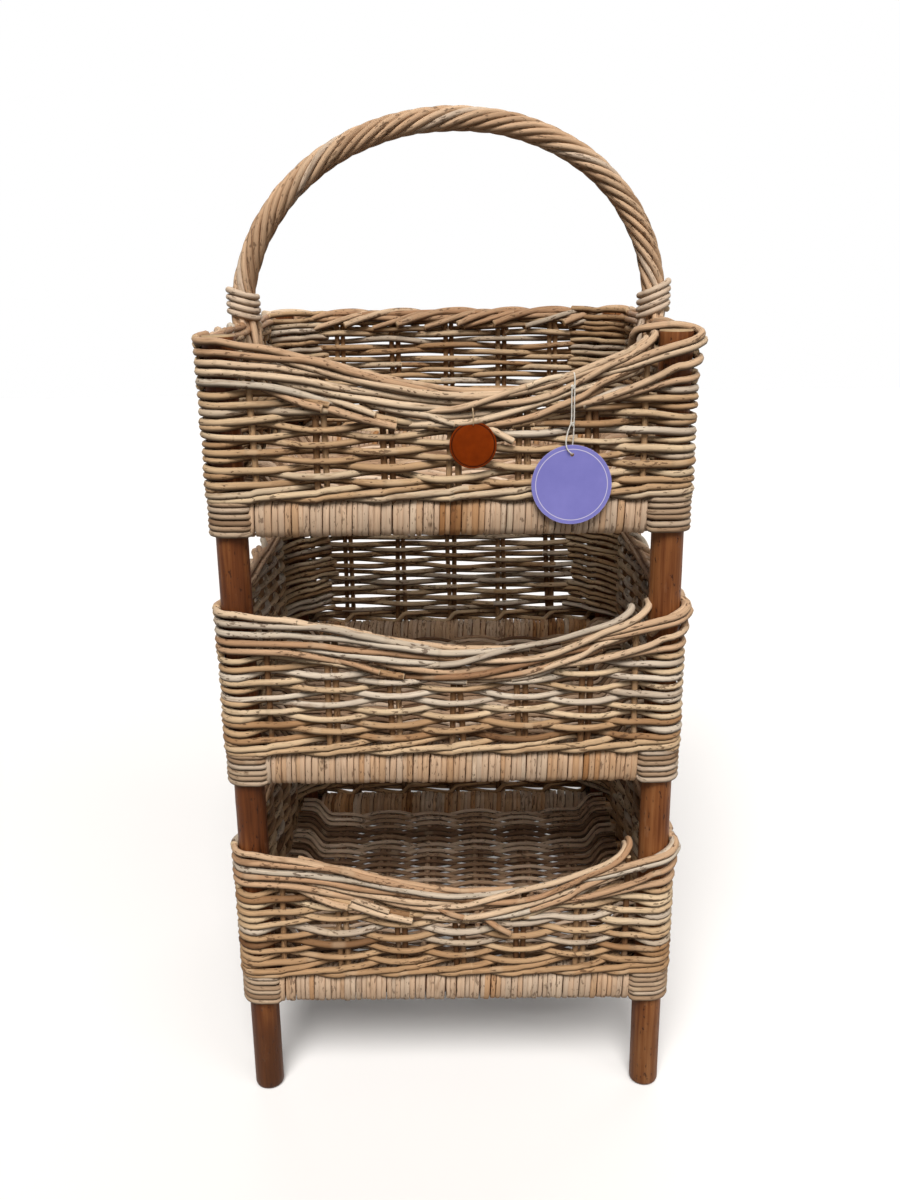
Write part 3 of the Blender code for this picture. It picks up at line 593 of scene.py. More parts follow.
# distances from the middle, and how far the floor has risen there to pass over the side rails
FLOOR_EDGE = ((0, 0.166, 0.187, 0.2), (0, 0, 0.0220, 0.02288))
BATTENS = (-0.146, -0.088, -0.030, 0.030, 0.088, 0.146)
BATTEN_SPREAD = 0.0042
BATTEN_RADIUS = 0.0034
BATTEN_SIDES = np.repeat((-1, 1, -1, 1, -1, 1), 2)
FLOOR_STOPS = ((0.0, (0.150, 0.078, 0.040)), (0.5, (0.480, 0.300, 0.180)), (1.0, (0.820, 0.620, 0.450)))


def wobble(run, size, longest=0.42, shortest=0.10, bends=4):
    """Slow random bends of about this size along a run of lengths."""
    lengths = random.uniform(shortest, longest, bends)
    phases = random.uniform(0, 2 * math.pi, bends)
    sizes = size * random.uniform(0.4, 1.0, bends) / math.sqrt(bends)
    return sum(s * np.sin(2 * math.pi * run / w + p) for w, p, s in zip(lengths, phases, sizes))


def ease(share):
    return share * share * (3 - 2 * share)


def eased(run, places, values):
    """Values at places along a run, eased from each to the next."""
    places = np.asarray(places, float)
    values = np.asarray(values, float)
    index = np.clip(np.searchsorted(places, run, side="right") - 1, 0, len(places) - 2)
    share = np.clip((run - places[index]) / (places[index + 1] - places[index]), 0, 1)
    return values[index] + (values[index + 1] - values[index]) * ease(share)


def weave_floor(tier):
    work = CaneWork()
    middle = FLOOR_TOPS[tier] - FLOOR_MIDDLE_BELOW_TOP
    rows = int(2 * FLOOR_HALF_Y / FLOOR_PITCH)
    pairs = [batten + spread for batten in BATTENS for spread in (-BATTEN_SPREAD, BATTEN_SPREAD)]
    for row in range(rows):
        reach = FLOOR_HALF_X - random.uniform(0, 0.002)
        x = np.linspace(-reach, reach, 76)
        y = -FLOOR_HALF_Y + (row + 0.5) * 2 * FLOOR_HALF_Y / rows + wobble(x, 0.0011)
        y += eased(x, pairs, random.normal(0, 0.0005, len(pairs)))
        wave = eased(x, pairs, FLOOR_WAVE * BATTEN_SIDES * (1 if row % 2 else -1))
        z = middle + wave + eased(abs(x), *FLOOR_EDGE) + wobble(x, 0.0003)
        work.lay(np.column_stack([x, y, z]), FLOOR_RADIUS * random.uniform(0.86, 1.14), random.uniform(0, 1))
    y = np.linspace(-FLOOR_HALF_Y, FLOOR_HALF_Y, 24)
    for place in pairs:
        line = np.column_stack([place + wobble(y, 0.0008), y, np.full(24, middle)])
        work.lay(line, BATTEN_RADIUS, random.uniform(0, 0.6))
    node = "floor_" + TIERS[tier]
    work.piece(node + "_weave", "woven_cane", [node], floor_cane)


floor_cane = cane_material("floor_cane", FLOOR_STOPS, speck=0.6, underside_shade=0.85)
for tier in range(len(TIERS)):
    weave_floor(tier)


# The woven walls: single round canes woven in front of one pair of uprights and behind the next, row on
# row, round the outside of the four posts. Three longer canes twist over the rails at the foot. Each
# front row that meets the dipped rim ends there, bent down a little under the rim's canes.

RIMS = (0.297, 0.548, 0.799)
RAIL_TOPS = (0.146, 0.397, 0.648)
FRONT_DIPS = (0.048, 0.038, 0.048)
DIP_CENTRE_X = 0.025
DIP_FULLNESS = 1.3
ROW_PITCH = 0.00735
ROW_STATION = 0.0062
ROW_SAG = 0.0008
# how a row's end is brought out under the dipped rim
ROW_END = 0.030
ROW_END_EASE = 0.035
ROW_END_OUT = 0.0008
# how far two canes of a row run on past the upright that hides their joint
LAP_BEFORE = 0.008
LAP_AFTER = 0.010
WEAVER_RADIUS = 0.00346
WALING_RADIUS = 0.0034
WALING_STATION = 0.0060
WALING_FLAT = 0.006
WALING_LAP = 0.02
WALING_SINK = 0.0010
WALL_MIDDLE = 0.0115
WALL_WAVE = 0.0064
CORNER_BEND = 0.0188
CORNER_RUN = CORNER_BEND * math.pi / 2
# how far below the rim the weave ends: under the front canes, under the rope, and where the front is open
FRONT_BAND = 0.036
BORDER_BAND = 0.0165
OPEN_BAND = 0.051
# the lowest tier's canes are painted a little darker than the upper two tiers', as painted shade at the foot
# of the stand
TIER_TONES_AND_SHADE = (-0.06, 0.03, 0.02)
WEAVE_STOPS = ((0.0, (0.150, 0.070, 0.030)), (0.22, (0.350, 0.190, 0.088)), (0.45, (0.510, 0.327, 0.178)),
               (0.68, (0.650, 0.478, 0.298)), (0.86, (0.470, 0.362, 0.262)), (1.0, (0.640, 0.525, 0.400)))

# The ring that the walls follow starts at the front's middle and runs to the right. Its places are the
# starts and ends of its corners.
RING_PLACES = np.cumsum([0, HALF_X, CORNER_RUN, 2 * HALF_Y, CORNER_RUN, 2 * HALF_X, CORNER_RUN, 2 * HALF_Y,
                         CORNER_RUN, HALF_X])
RING_LENGTH = RING_PLACES[-1]
RING_X = HALF_X * np.array([0, 1, 1, 1, 1, -1, -1, -1, -1, 0])
RING_Y = HALF_Y * np.array([-1, -1, -1, 1, 1, 1, 1, -1, -1, -1])
RING_FACING = np.radians([-90, -90, 0, 0, 90, 90, 180, 180, 270, 270])
RIGHT_SIDE, BACK_SIDE, LEFT_SIDE, FRONT_LEFT = RING_PLACES[[2, 4, 6, 8]]
CORNERS = RING_PLACES[[1, 3, 5, 7]]
SIDES_END = RING_PLACES[7]

UPRIGHT_RADIUS = 0.0031
UPRIGHT_STATIONS = 18
UPRIGHT_BELOW_RAIL = 0.006
UPRIGHT_BELOW_FRONT = 0.012
UPRIGHT_BELOW_RIM = 0.010
UPRIGHT_SPREAD = 0.00385
LONE_UPRIGHT = 0.15
FRONT_UPRIGHTS = (-0.176, -0.115, -0.055, 0.005, 0.067, 0.129, 0.176)
SIDE_UPRIGHTS = (-0.170, -0.118, -0.060, 0.000, 0.060, 0.118, 0.170)
BACK_UPRIGHTS = (0.180, 0.128, 0.0645, 0.000, -0.066, -0.134, -0.180)
# each upright's place on the ring, and whether it stands alone, beside a post
UPRIGHTS = sorted([(x if x >= 0 else RING_LENGTH + x, abs(x) > LONE_UPRIGHT) for x in FRONT_UPRIGHTS]
                  + [(RIGHT_SIDE + HALF_Y + y, abs(y) > LONE_UPRIGHT) for y in SIDE_UPRIGHTS]
                  + [(BACK_SIDE + HALF_X - x, abs(x) > LONE_UPRIGHT) for x in BACK_UPRIGHTS]
                  + [(LEFT_SIDE + HALF_Y + y, abs(y) > LONE_UPRIGHT) for y in SIDE_UPRIGHTS])
# heights of a foot cane on both sides of the upright that it passes behind, and of the next two
WALING_LEVELS = np.array(((0.0115, 0.0000), (0.0010, 0.0035), (0.0065, 0.0095)))
INSIDE_CORNER = ((0.158, 0.205), (0.168, 0.195), (0.179, 0.1815), (0.1875, 0.176), (0.199, 0.164),
                 (0.211, 0.140))
INSIDE_ROWS = 18
INSIDE_FOOT = 0.020


def on_ring(run, offset, height):
    """Points round the stand: a run along the posts' line, an offset outwards from it, and a height."""
    run = np.asarray(run, float) % RING_LENGTH
    facing = np.interp(run, RING_PLACES, RING_FACING)
    x = np.interp(run, RING_PLACES, RING_X) + offset * np.cos(facing)
    y = np.interp(run, RING_PLACES, RING_Y) + offset * np.sin(facing)
    return np.column_stack([x, y, np.broadcast_to(height, x.shape)])


def front_rim(tier, x):
    """Top of the dipped front border."""
    reach = np.where(np.asarray(x) > DIP_CENTRE_X, HALF_X - DIP_CENTRE_X, HALF_X + DIP_CENTRE_X)
    share = np.minimum(np.abs(x - DIP_CENTRE_X) / reach, 1)
    return RIMS[tier] - FRONT_DIPS[tier] * np.maximum(np.cos(share * math.pi / 2), 0) ** DIP_FULLNESS


def weave_knots(parity):
    """Places and offsets of one row that goes in front of every second upright and outside the posts."""
    knots = []
    for number, (run, alone) in enumerate(UPRIGHTS):
        sign = 1 if (number + parity) % 2 else -1
        wide = 0.002 if alone else UPRIGHT_SPREAD + 0.001
        offset = WALL_MIDDLE + sign * WALL_WAVE * (0.72 if alone else 1.0)
        knots += [(run - wide, offset), (run + wide, offset)]
    for place in CORNERS:
        knots += [(place + 0.001, CORNER_BEND), (place + CORNER_RUN - 0.001, CORNER_BEND)]
    knots = np.array(sorted(knots))
    return np.vstack([knots - (RING_LENGTH, 0), knots, knots + (RING_LENGTH, 0)]).T


KNOTS = (weave_knots(0), weave_knots(1))


def cane_tint():
    """Most canes are tan, some straw coloured, some weathered grey."""
    kind = random.random()
    for share, low, high in ((0.50, 0.28, 0.58), (0.74, 0.58, 0.74), (0.93, 0.82, 1.0), (1, 0.10, 0.28)):
        if kind < share:
            return random.uniform(low, high)


def uneven(count, share=0.05):
    """A cane's slow changes of thickness."""
    return 1 + wobble(np.arange(count) * 0.006, share, 0.30, 0.06)


def droop(tier, left_end, right_end, run, offset, level):
    """Keep a row's front below the dipped rim's canes, and bring its ends out in front of the uprights."""
    x = np.where(run > RING_LENGTH / 2, run - RING_LENGTH, run)
    on_front = (run < HALF_X) | (run > FRONT_LEFT)
    under = np.minimum(level, front_rim(tier, x) - FRONT_BAND - WEAVER_RADIUS)
    to_end = np.minimum(abs(x - left_end), abs(x - right_end))
    out = WALL_MIDDLE + WALL_WAVE + ROW_END_OUT
    eased_out = offset + (out - offset) * ease(np.clip(1 - to_end / ROW_END_EASE, 0, 1))
    return np.where(on_front & (to_end < ROW_END), eased_out, offset), np.where(on_front, under, level)


def lay_row(work, parity, height, start, end, dip=None):
    """One cane of a row, from one place on the ring to another."""
    run = np.linspace(start, end, max(int((end - start) / ROW_STATION), 4) + 1)
    offset = eased(run, *KNOTS[parity]) + wobble(run, 0.0004)
    crossings = np.arange(start - 0.06, end + 0.12, 0.058)
    level = height + wobble(run, 0.0009) + eased(run, crossings, random.normal(0, 0.0010, len(crossings)))
    level = level - ROW_SAG * (offset - WALL_MIDDLE) / WALL_WAVE
    if dip:
        offset, level = droop(*dip, run, offset, level)
    radius = WEAVER_RADIUS * random.uniform(0.84, 1.12) * uneven(len(run), 0.09)
    tint = np.clip(cane_tint() + wobble(run, 0.10), 0, 1)
    work.lay(on_ring(run, offset, level), radius, tint)


def behind_places(parity):
    """Places where this row passes behind an upright, which hide the joints between its canes."""
    return [run for number, (run, _) in enumerate(UPRIGHTS) if not (number + parity) % 2]


def lay_full_row(work, parity, height):
    """A row that goes all the way round, made of two or three canes whose ends lie behind uprights."""
    joints = behind_places(parity)
    first = random.integers(0, len(joints))
    step = len(joints) // (2 + (random.random() < 0.5))
    picked = sorted(joints[(first + i * step + random.integers(0, 2)) % len(joints)]
                    for i in range(len(joints) // step))
    for place, after in zip(picked, picked[1:] + [picked[0] + RING_LENGTH]):
        if after - place > 0.05:
            lay_row(work, parity, height, place - LAP_BEFORE, after + LAP_AFTER)


def lay_dipped_row(work, tier, parity, height):
    """A row that ends on both sides of the dip, each end in front of a pair of uprights."""
    x = np.linspace(-HALF_X, HALF_X, 400)
    free = x[front_rim(tier, x) - FRONT_BAND > height]
    left = max(free[free < DIP_CENTRE_X], default=-HALF_X)
    right = min(free[free > DIP_CENTRE_X], default=HALF_X)
    left_end = min([u for u in FRONT_UPRIGHTS if u > left - 0.004], default=DIP_CENTRE_X) + LAP_AFTER
    right_end = max([u for u in FRONT_UPRIGHTS if u < right + 0.004], default=DIP_CENTRE_X) - LAP_AFTER
    middle = random.choice(behind_places(parity)[3:9])
    dip = (tier, left_end, right_end)
    lay_row(work, parity, height, right_end, middle + LAP_AFTER, dip)
    lay_row(work, parity, height, middle - LAP_BEFORE, RING_LENGTH + left_end, dip)


def lay_waling(work, tier):
    """Three canes that take turns to pass behind an upright, each rising from low to high in between."""
    places = np.array([run for run, _ in UPRIGHTS])
    places = np.r_[places[-3:] - RING_LENGTH, places, places[:3] + RING_LENGTH]
    knots = np.column_stack([places - WALING_FLAT, places + WALING_FLAT]).ravel()
    run = np.arange(0, RING_LENGTH + WALING_LAP, WALING_STATION)
    corner = sum((run > place - 0.004) & (run < place + CORNER_RUN + 0.004) for place in CORNERS) * 1.0
    soft = np.convolve(np.pad(corner, 3, mode="edge"), np.ones(7) / 7, mode="valid")
    for strand in range(3):
        phase = (np.arange(len(places)) + strand) % 3
        offsets = np.repeat(WALL_MIDDLE + np.where(phase == 0, -WALL_WAVE, WALL_WAVE + 0.0004), 2)
        offset = eased(run, knots, offsets) * (1 - soft) + (CORNER_BEND + 0.0006) * soft
        level = eased(run, knots, WALING_LEVELS[phase].ravel())
        level = RAIL_TOPS[tier] - WALING_SINK + level + wobble(run, 0.0006)
        work.lay(on_ring(run, offset, level), WALING_RADIUS * uneven(len(run)), random.uniform(0.35, 0.75))


def lay_uprights(work, tier):
    """The pairs of uprights, from the wrapped rail up into the rim."""
    for run, alone in UPRIGHTS:
        for spread in ((0.0,) if alone else (-UPRIGHT_SPREAD, UPRIGHT_SPREAD)):
            place = run + spread
            x = on_ring([place], 0.0, 0.0)[0][0]
            on_front = place < HALF_X or place > FRONT_LEFT
            top = RIMS[tier] - UPRIGHT_BELOW_RIM
            if on_front:
                top = float(front_rim(tier, x)) - UPRIGHT_BELOW_FRONT
            height = np.linspace(RAIL_TOPS[tier] - UPRIGHT_BELOW_RAIL, top, UPRIGHT_STATIONS)
            lean = random.normal(0, 0.0010)
            along = place + lean * np.linspace(-1, 1, UPRIGHT_STATIONS) + wobble(height, 0.0003)
            line = on_ring(along, WALL_MIDDLE + wobble(height, 0.0003), height)
            # painted shade: the uprights take darker tints than the rows, for the shade they stand in behind
            # the rows
            work.lay(line, UPRIGHT_RADIUS * random.uniform(0.93, 1.05), random.uniform(0.0, 0.42), sides=7)


def lay_inside_corners(work, tier):
    """Short canes that pass on the inner side of the two back posts."""
    for side in (-1, 1):
        for number in range(INSIDE_ROWS):
            height = RAIL_TOPS[tier] + INSIDE_FOOT + number * ROW_PITCH + random.uniform(-0.001, 0.001)
            reach = random.uniform(-0.014, 0.004)
            route = np.array([(side * x, y, height + random.uniform(-0.001, 0.001))
                              for x, y in INSIDE_CORNER])
            route[0, 0] += side * reach
            route[-1, 1] -= reach
            work.lay(smooth_line(route, 0.005), WEAVER_RADIUS * random.uniform(0.88, 1.05), cane_tint())


def weave_wall(tier):
    work = CaneWork(TIER_TONES_AND_SHADE[tier])
    rim = RIMS[tier]
    foot = RAIL_TOPS[tier] + 2 * ROW_PITCH
    for row in range(int((rim - BORDER_BAND - foot) / ROW_PITCH) + 1):
        height = foot + row * ROW_PITCH
        parity = row % 2
        if height + WEAVER_RADIUS < rim - FRONT_DIPS[tier] - FRONT_BAND:
            lay_full_row(work, parity, height)
        elif height > rim - OPEN_BAND:
            start = RIGHT_SIDE + random.uniform(0, 0.004)
            lay_row(work, parity, height, start, SIDES_END + 0.012 - random.uniform(0, 0.01))
        else:
            lay_dipped_row(work, tier, parity, height)
    lay_waling(work, tier)
    lay_uprights(work, tier)
    lay_inside_corners(work, tier)
    name = TIERS[tier]
    nodes = ["wall_front_" + name, "wall_sides_back_" + name]
    work.piece(f"wall_{name}_weave", "woven_cane", nodes, wall_cane)


wall_cane = cane_material("woven_cane", WEAVE_STOPS, 0.42, 0.72, underside_shade=0.92)
for tier in range(len(TIERS)):
    weave_wall(tier)


# The borders: at the back and the sides each pair of uprights is bent over and laid along the rim in a
# rope, and its pale cut end points down into the basket. At the front long loose canes sweep down from
# both corners, cross over each other in the middle, and some end outside in a pale cut.

BORDER_STOPS = ((0.0, (0.210, 0.103, 0.048)), (0.25, (0.410, 0.228, 0.120)), (0.50, (0.560, 0.358, 0.212)),
                (0.75, (0.720, 0.540, 0.362)), (0.88, (0.480, 0.382, 0.282)), (1.0, (0.660, 0.552, 0.425)))
TOP = 2
ROPE_RADIUS = 0.0041
TUCKED_RADIUS = 0.0035
ROPE_STEP = 0.033
ROPE_BELOW_RIM = 0.0022
ROPE_STARTS = (0.002, 0.002, 0.012)
# along the ring from its upright, outwards from the wall's middle, and above the rim
ROPE_ROUTE = ((-0.004, 0.0000, -0.0310), (0.004, 0.0030, -0.0200), (0.018, 0.0078, -0.0110),
              (0.042, 0.0064, -0.0046), (0.064, 0.0010, -0.0040), (0.084, -0.0055, -0.0068),
              (0.106, -0.0105, -0.0125), (0.126, -0.0165, -0.0190))
TUCKED_ROUTE = ((-0.004, 0.0000, -0.0310), (0.004, 0.0036, -0.0220), (0.018, 0.0080, -0.0140),
                (0.042, 0.0058, -0.0070), (0.064, -0.0005, -0.0058), (0.084, -0.0068, -0.0095),
                (0.108, -0.0100, -0.0165), (0.132, -0.0080, -0.0230))
CORE_RADIUS = 0.0037
# the two plain canes inside the rope: below the rim, and outwards from the wall's middle
CORE_PLACES = ((0.0085, -0.0020), (0.0140, -0.0050))

# Each front cane: its corner or "", its radius and tint, whether its end is cut in sight, and its route as
# millimetres to the right, below the top rim and out from the posts' middle.
FRONT_CANES = (
    ("left", 3.7, 0.45, False, ((-200, 9, 20), (-181, 13, 20.5), (-159, 16, 20.5), (-143, 20, 20.5),
     (-128, 24, 20), (-109, 28, 18.5), (-95, 33, 16), (-79, 39, 12))),
    ("", 3.3, 0.52, False, ((-156, 18, 12), (-140, 21, 15), (-126, 25, 17), (-99, 30, 18), (-73, 38, 18.5),
     (-37, 46, 18.5), (2, 53, 18), (30, 55, 15), (60, 56, 11))),
    ("left", 3.9, 0.40, False, ((-200, 19, 20), (-181, 21, 20.5), (-152, 24, 21), (-124, 26, 21.5),
     (-102, 31, 22), (-88, 36, 22), (-73, 40, 21.5), (-52, 46, 20.5), (-23, 52, 19), (2, 56, 16),
     (30, 58, 12))),
    ("left", 3.8, 0.64, False, ((-200, 28, 20), (-182, 30, 20), (-152, 32, 19.5), (-131, 36, 19),
     (-110, 38, 19.5), (-88, 42, 20.5), (-66, 47, 21.5), (-44, 51, 22), (-23, 55.5, 22), (2, 58, 21.5),
     (40, 58, 17), (75, 57, 11))),
    ("left", 3.9, 0.70, False, ((-200, 36, 20), (-175, 38, 20), (-146, 41, 20), (-124, 44, 20),
     (-103, 49, 20), (-81, 53, 19.5), (-59, 56, 18.5), (-37, 60, 18), (2, 64, 17.5), (35, 65, 15),
     (70, 65, 11))),
    ("left", 3.9, 0.93, False, ((-200, 45, 20), (-176, 47, 20), (-157, 49, 20), (-139, 53, 19.5),
     (-118, 59, 18), (-96, 65, 16), (-80, 71, 13))),
    ("", 3.7, 0.74, False, ((-155, 43, 13), (-141, 47, 16), (-125, 50, 17.5), (-103, 55, 19), (-81, 59, 20),
     (-59, 63, 21), (-37, 66.5, 21), (-8, 69, 17), (25, 69, 13), (50, 69, 10))),
    ("", 3.2, 0.72, True, ((-118, 56, 14), (-100, 62, 18), (-84, 67, 21), (-64, 74, 23))),
    ("", 4.0, 0.45, True, ((-165, 50, 13), (-146, 57, 18), (-128, 64, 21.5), (-111, 68, 23))),
    ("", 3.9, 0.50, True, ((-128, 62, 13), (-114, 67, 16), (-96, 72, 19.5), (-75, 78, 22), (-46, 85, 23))),
    ("", 3.8, 0.78, False, ((-78, 63, 13), (-64, 67, 17), (-45, 71, 19), (-23, 75, 18.5), (2, 77, 17.5),
     (35, 75, 14), (60, 73, 11))),
    ("right", 3.7, 0.55, False, ((200, 36, 22), (184, 44, 22), (163, 53, 21.5), (141, 61, 21),
     (119, 67, 19.5), (100, 71, 17), (80, 75, 13))),
    ("right", 3.6, 0.50, False, ((200, 48, 20), (180, 53, 19.5), (155, 60, 19), (128, 66, 18),
     (105, 71, 15), (85, 75, 12))),
    ("", 3.6, 0.56, False, ((183, 24, -17), (183.5, 12, -12), (184, 8, -3), (182.5, 10.5, 7), (173, 17, 18),
     (159, 26, 20.5), (140, 34, 21.5), (126, 42, 22), (104, 53, 22), (90, 59, 22), (68, 64, 22),
     (46, 66, 21), (20, 67, 17), (-10, 67, 12))),
    ("", 3.5, 0.60, False, ((177, 27, -15), (176.5, 16, -10), (176.5, 12, -1), (174.5, 13, 8),
     (167, 17, 16), (154, 24, 19), (133, 32, 20), (104, 43, 20.5), (82, 48.5, 21), (60, 54, 21.5),
     (38, 61, 22), (16, 68, 22), (2, 70.5, 21), (-25, 73, 17), (-55, 77, 12))),
    ("", 3.7, 0.50, False, ((182, 27, 10), (168, 35, 16), (148, 43, 19.5), (133, 50, 20.5), (119, 60, 21),
     (97, 69, 21.5), (75, 78, 20.5), (46, 85, 18.5), (20, 88, 15), (0, 88, 12))),
    ("", 3.3, 0.76, True, ((138, 34, 9), (122, 39, 15), (106, 42, 20), (86, 45, 23), (69, 51, 24))),
    ("", 3.8, 0.72, False, ((172, 37, 13), (162, 41, 16), (133, 50, 18.5), (112, 55, 20), (90, 63, 20.5),
     (68, 70, 21), (46, 76, 22), (24, 81, 22), (2, 83, 21), (-25, 84, 16), (-50, 84, 11))),
    ("", 3.6, 0.42, False, ((138, 55, 13), (126, 60, 16), (104, 67, 18.5), (83, 75, 20.5), (61, 81, 21),
     (38, 84, 21), (15, 86, 17), (-5, 87, 12))),
    ("", 3.4, 0.80, True, ((-30, 70, 14), (-18, 75, 19), (-6, 80, 22.5), (6, 83, 23.5))),
    ("", 3.6, 0.68, True, ((28, 80, 15), (36, 86, 20), (45, 92, 23), (58, 99, 24))),
)
# The two canes that turn in over the right corner: millimetres across, away and below the rim, and how
# each starts inside the side wall.
TURNED_IN = ((169, -158, 24), (171, -168, 8), (184, -176, 4), (204, -177.5, 2), (219, -186, 4),
             (224.5, -197, 7), (221, -209, 10), (211, -216, 14), (190, -217, 20), (173, -216, 26),
             (159, -215, 31), (141, -214, 36), (122, -211, 41), (105, -208, 47))
LOW_TIERS_START = ((212.5, -118, 20), (219, -142, 8), (221.5, -162, 4.5), (222.5, -178, 4))
SECOND_START = ((212.5, -118, 26), (219, -142, 14.5), (221.5, -162, 11), (222.5, -178, 11))
SECOND_BELOW = np.interp(np.arange(14), (0, 4, 8, 13), (2, 7, 5.8, 3))
FRONT_BEGINS_Y = -0.205


def lay_on_rim(work, tier, run, route, radius, tint):
    """One cane of the rope, from its upright over the rim and down on the inside."""
    route = np.array(route) * (random.uniform(0.94, 1.06), 1, 1) + (run, 0, RIMS[tier] - ROPE_BELOW_RIM)
    along, offset, level = smooth_line(route, 0.0045).T
    on_side = (along < CORNERS[1] - 0.01) | (along > LEFT_SIDE + 0.01)
    offset = np.where(on_side, np.maximum(offset, offset * 0.20), offset)
    offset = WALL_MIDDLE + offset + wobble(along, 0.0003)
    level = np.where(on_side, level - 0.006 * np.clip((along - run - 0.08) / 0.05, 0, 1), level)
    for place in CORNERS:
        away = np.abs(along - place - CORNER_RUN / 2) - CORNER_RUN / 2 - 0.003
        near = ease(np.clip(1 - np.maximum(away, 0) / 0.020, 0, 1))
        offset = offset + (np.maximum(offset, CORNER_BEND + 0.0010) - offset) * near
    keep = along < SIDES_END + 0.002
    if keep.sum() > 6:
        work.lay(on_ring(along, offset, level)[keep], radius, tint)


def lay_rope(work, tier):
    """The rolled border of the sides and back."""
    first = RIGHT_SIDE + ROPE_STARTS[tier]
    run = np.arange(first, SIDES_END, 0.006)
    for below, out in CORE_PLACES:
        level = RIMS[tier] - below + wobble(run, 0.0010)
        line = on_ring(run, WALL_MIDDLE + out + wobble(run, 0.0008), level)
        # the core canes are real canes, but their darker tints are painted shade for the shadow under the
        # rope
        work.lay(line, CORE_RADIUS, random.uniform(0.2, 0.5))
    pairs = [run for run, _ in UPRIGHTS if first < run < SIDES_END + 0.001]
    for run in [RIGHT_SIDE - 0.040] * (tier != TOP) + pairs:
        run = run + random.uniform(-0.004, 0.004)
        tucked = TUCKED_RADIUS * random.uniform(0.92, 1.06)
        lay_on_rim(work, tier, run + ROPE_STEP, TUCKED_ROUTE, tucked, cane_tint())
        lay_on_rim(work, tier, run, ROPE_ROUTE, ROPE_RADIUS * random.uniform(0.92, 1.05), cane_tint())


def lay_front_cane(work, tier, cane):
    """One loose cane of the front, fitted to this tier's dip."""
    corner, radius, tint, _, route = cane
    x, below, out = np.array(route, float).T / 1000
    below = below - (RIMS[TOP] - front_rim(TOP, x))
    if tier != TOP:
        x = x + random.uniform(-0.005, 0.005) * (abs(x) < 0.19)
        below = below * random.uniform(0.94, 1.02) + random.uniform(-0.0006, 0.0006)
        tint = cane_tint()
    line = np.column_stack([x, -HALF_Y - out, front_rim(tier, x) - below])
    if corner:
        # it comes round the corner from the side wall, where it slips in behind the weave
        right = corner == "right"
        tail = np.linspace(0.006, random.uniform(0.035, 0.055), 7)
        past = np.r_[np.linspace(0, CORNER_RUN, 7)[1:], CORNER_RUN + tail]
        run = CORNERS[0] + past if right else RING_LENGTH - CORNERS[0] - past
        outward = out[0] - 0.0006 - 0.010 * np.r_[np.zeros(6), tail / tail[-1]] ** 2
        climb = (line[0, 2] - line[1, 2]) / abs(x[0] - x[1]) if right else 0.0
        level = line[0, 2] + climb * 0.5 * np.minimum(past, 0.03)
        line = np.vstack([on_ring(run, outward, level)[::-1], line])
    line = smooth_line(line, 0.0052)
    work.lay(line, radius / 1000 * random.uniform(0.90, 0.97) * uneven(len(line), 0.09), tint)


def lay_turned_in(work, tier):
    """The two canes that come from the right side and cross the bare face of the front post."""
    for second, radius, tint in ((False, 0.0037, 0.52), (True, 0.0034, 0.66)):
        route = np.array(TURNED_IN, float)
        if second:
            route[:, 2] += SECOND_BELOW
            route[:4] = SECOND_START
            route[4:6, 0] += (3.5, 3.0)
        elif tier != TOP:
            route[:4] = LOW_TIERS_START
        x, y, below = route.T / 1000
        on_front = y < FRONT_BEGINS_Y
        below = below - np.where(on_front, RIMS[TOP] - front_rim(TOP, x), 0)
        line = np.column_stack([x, y, np.where(on_front, front_rim(tier, x), RIMS[tier]) - below])
        line = smooth_line(line, 0.0050)
        work.lay(line, radius * uneven(len(line), 0.05), tint if tier == TOP else cane_tint())


border_cane = cane_material("border_cane", BORDER_STOPS, 0.42, 0.72, underside_shade=0.95)
for tier, tier_name in enumerate(TIERS):
    work = CaneWork()
    lay_rope(work, tier)
    for cane in FRONT_CANES:
        cut_in_sight = cane[3]
        if tier == TOP or not cut_in_sight or random.random() < 0.5:
            lay_front_cane(work, tier, cane)
    lay_turned_in(work, tier)
    work.piece(f"border_{tier_name}_canes", "border_cane", ["border_" + tier_name], border_cane)


# The handle: eight long canes twisted into a rope round a core and bent to a hoop. Its two ends go down
# inside the basket's side walls.

HANDLE_RADIUS = 0.012
HANDLE_HEIGHT = 0.190
HANDLE_LEAN = 0.008
HANDLE_FULLNESS = 2.05
HANDLE_FOOT_X = 0.2145
HANDLE_FOOT_Z = 0.7993
HANDLE_TAIL = 0.030
STRANDS = 8
STRAND_RADIUS = 0.00325
TWIST_LENGTH = 0.146
HANDLE_STOPS = ((0.0, (0.29, 0.165, 0.090)), (0.3, (0.58, 0.370, 0.220)), (0.6, (0.68, 0.465, 0.295)),
                (0.85, (0.64, 0.485, 0.350)), (1.0, (0.78, 0.620, 0.470)))


def handle_point(angle):
    """A point of the hoop: angle 0 is the right foot, pi the left foot."""
    across = math.copysign(abs(math.cos(angle)) ** (2 / HANDLE_FULLNESS), math.cos(angle))
    rise = abs(math.sin(angle)) ** (2 / HANDLE_FULLNESS)
    return (HANDLE_FOOT_X * across + HANDLE_LEAN * rise, 0, HANDLE_FOOT_Z + HANDLE_HEIGHT * rise)


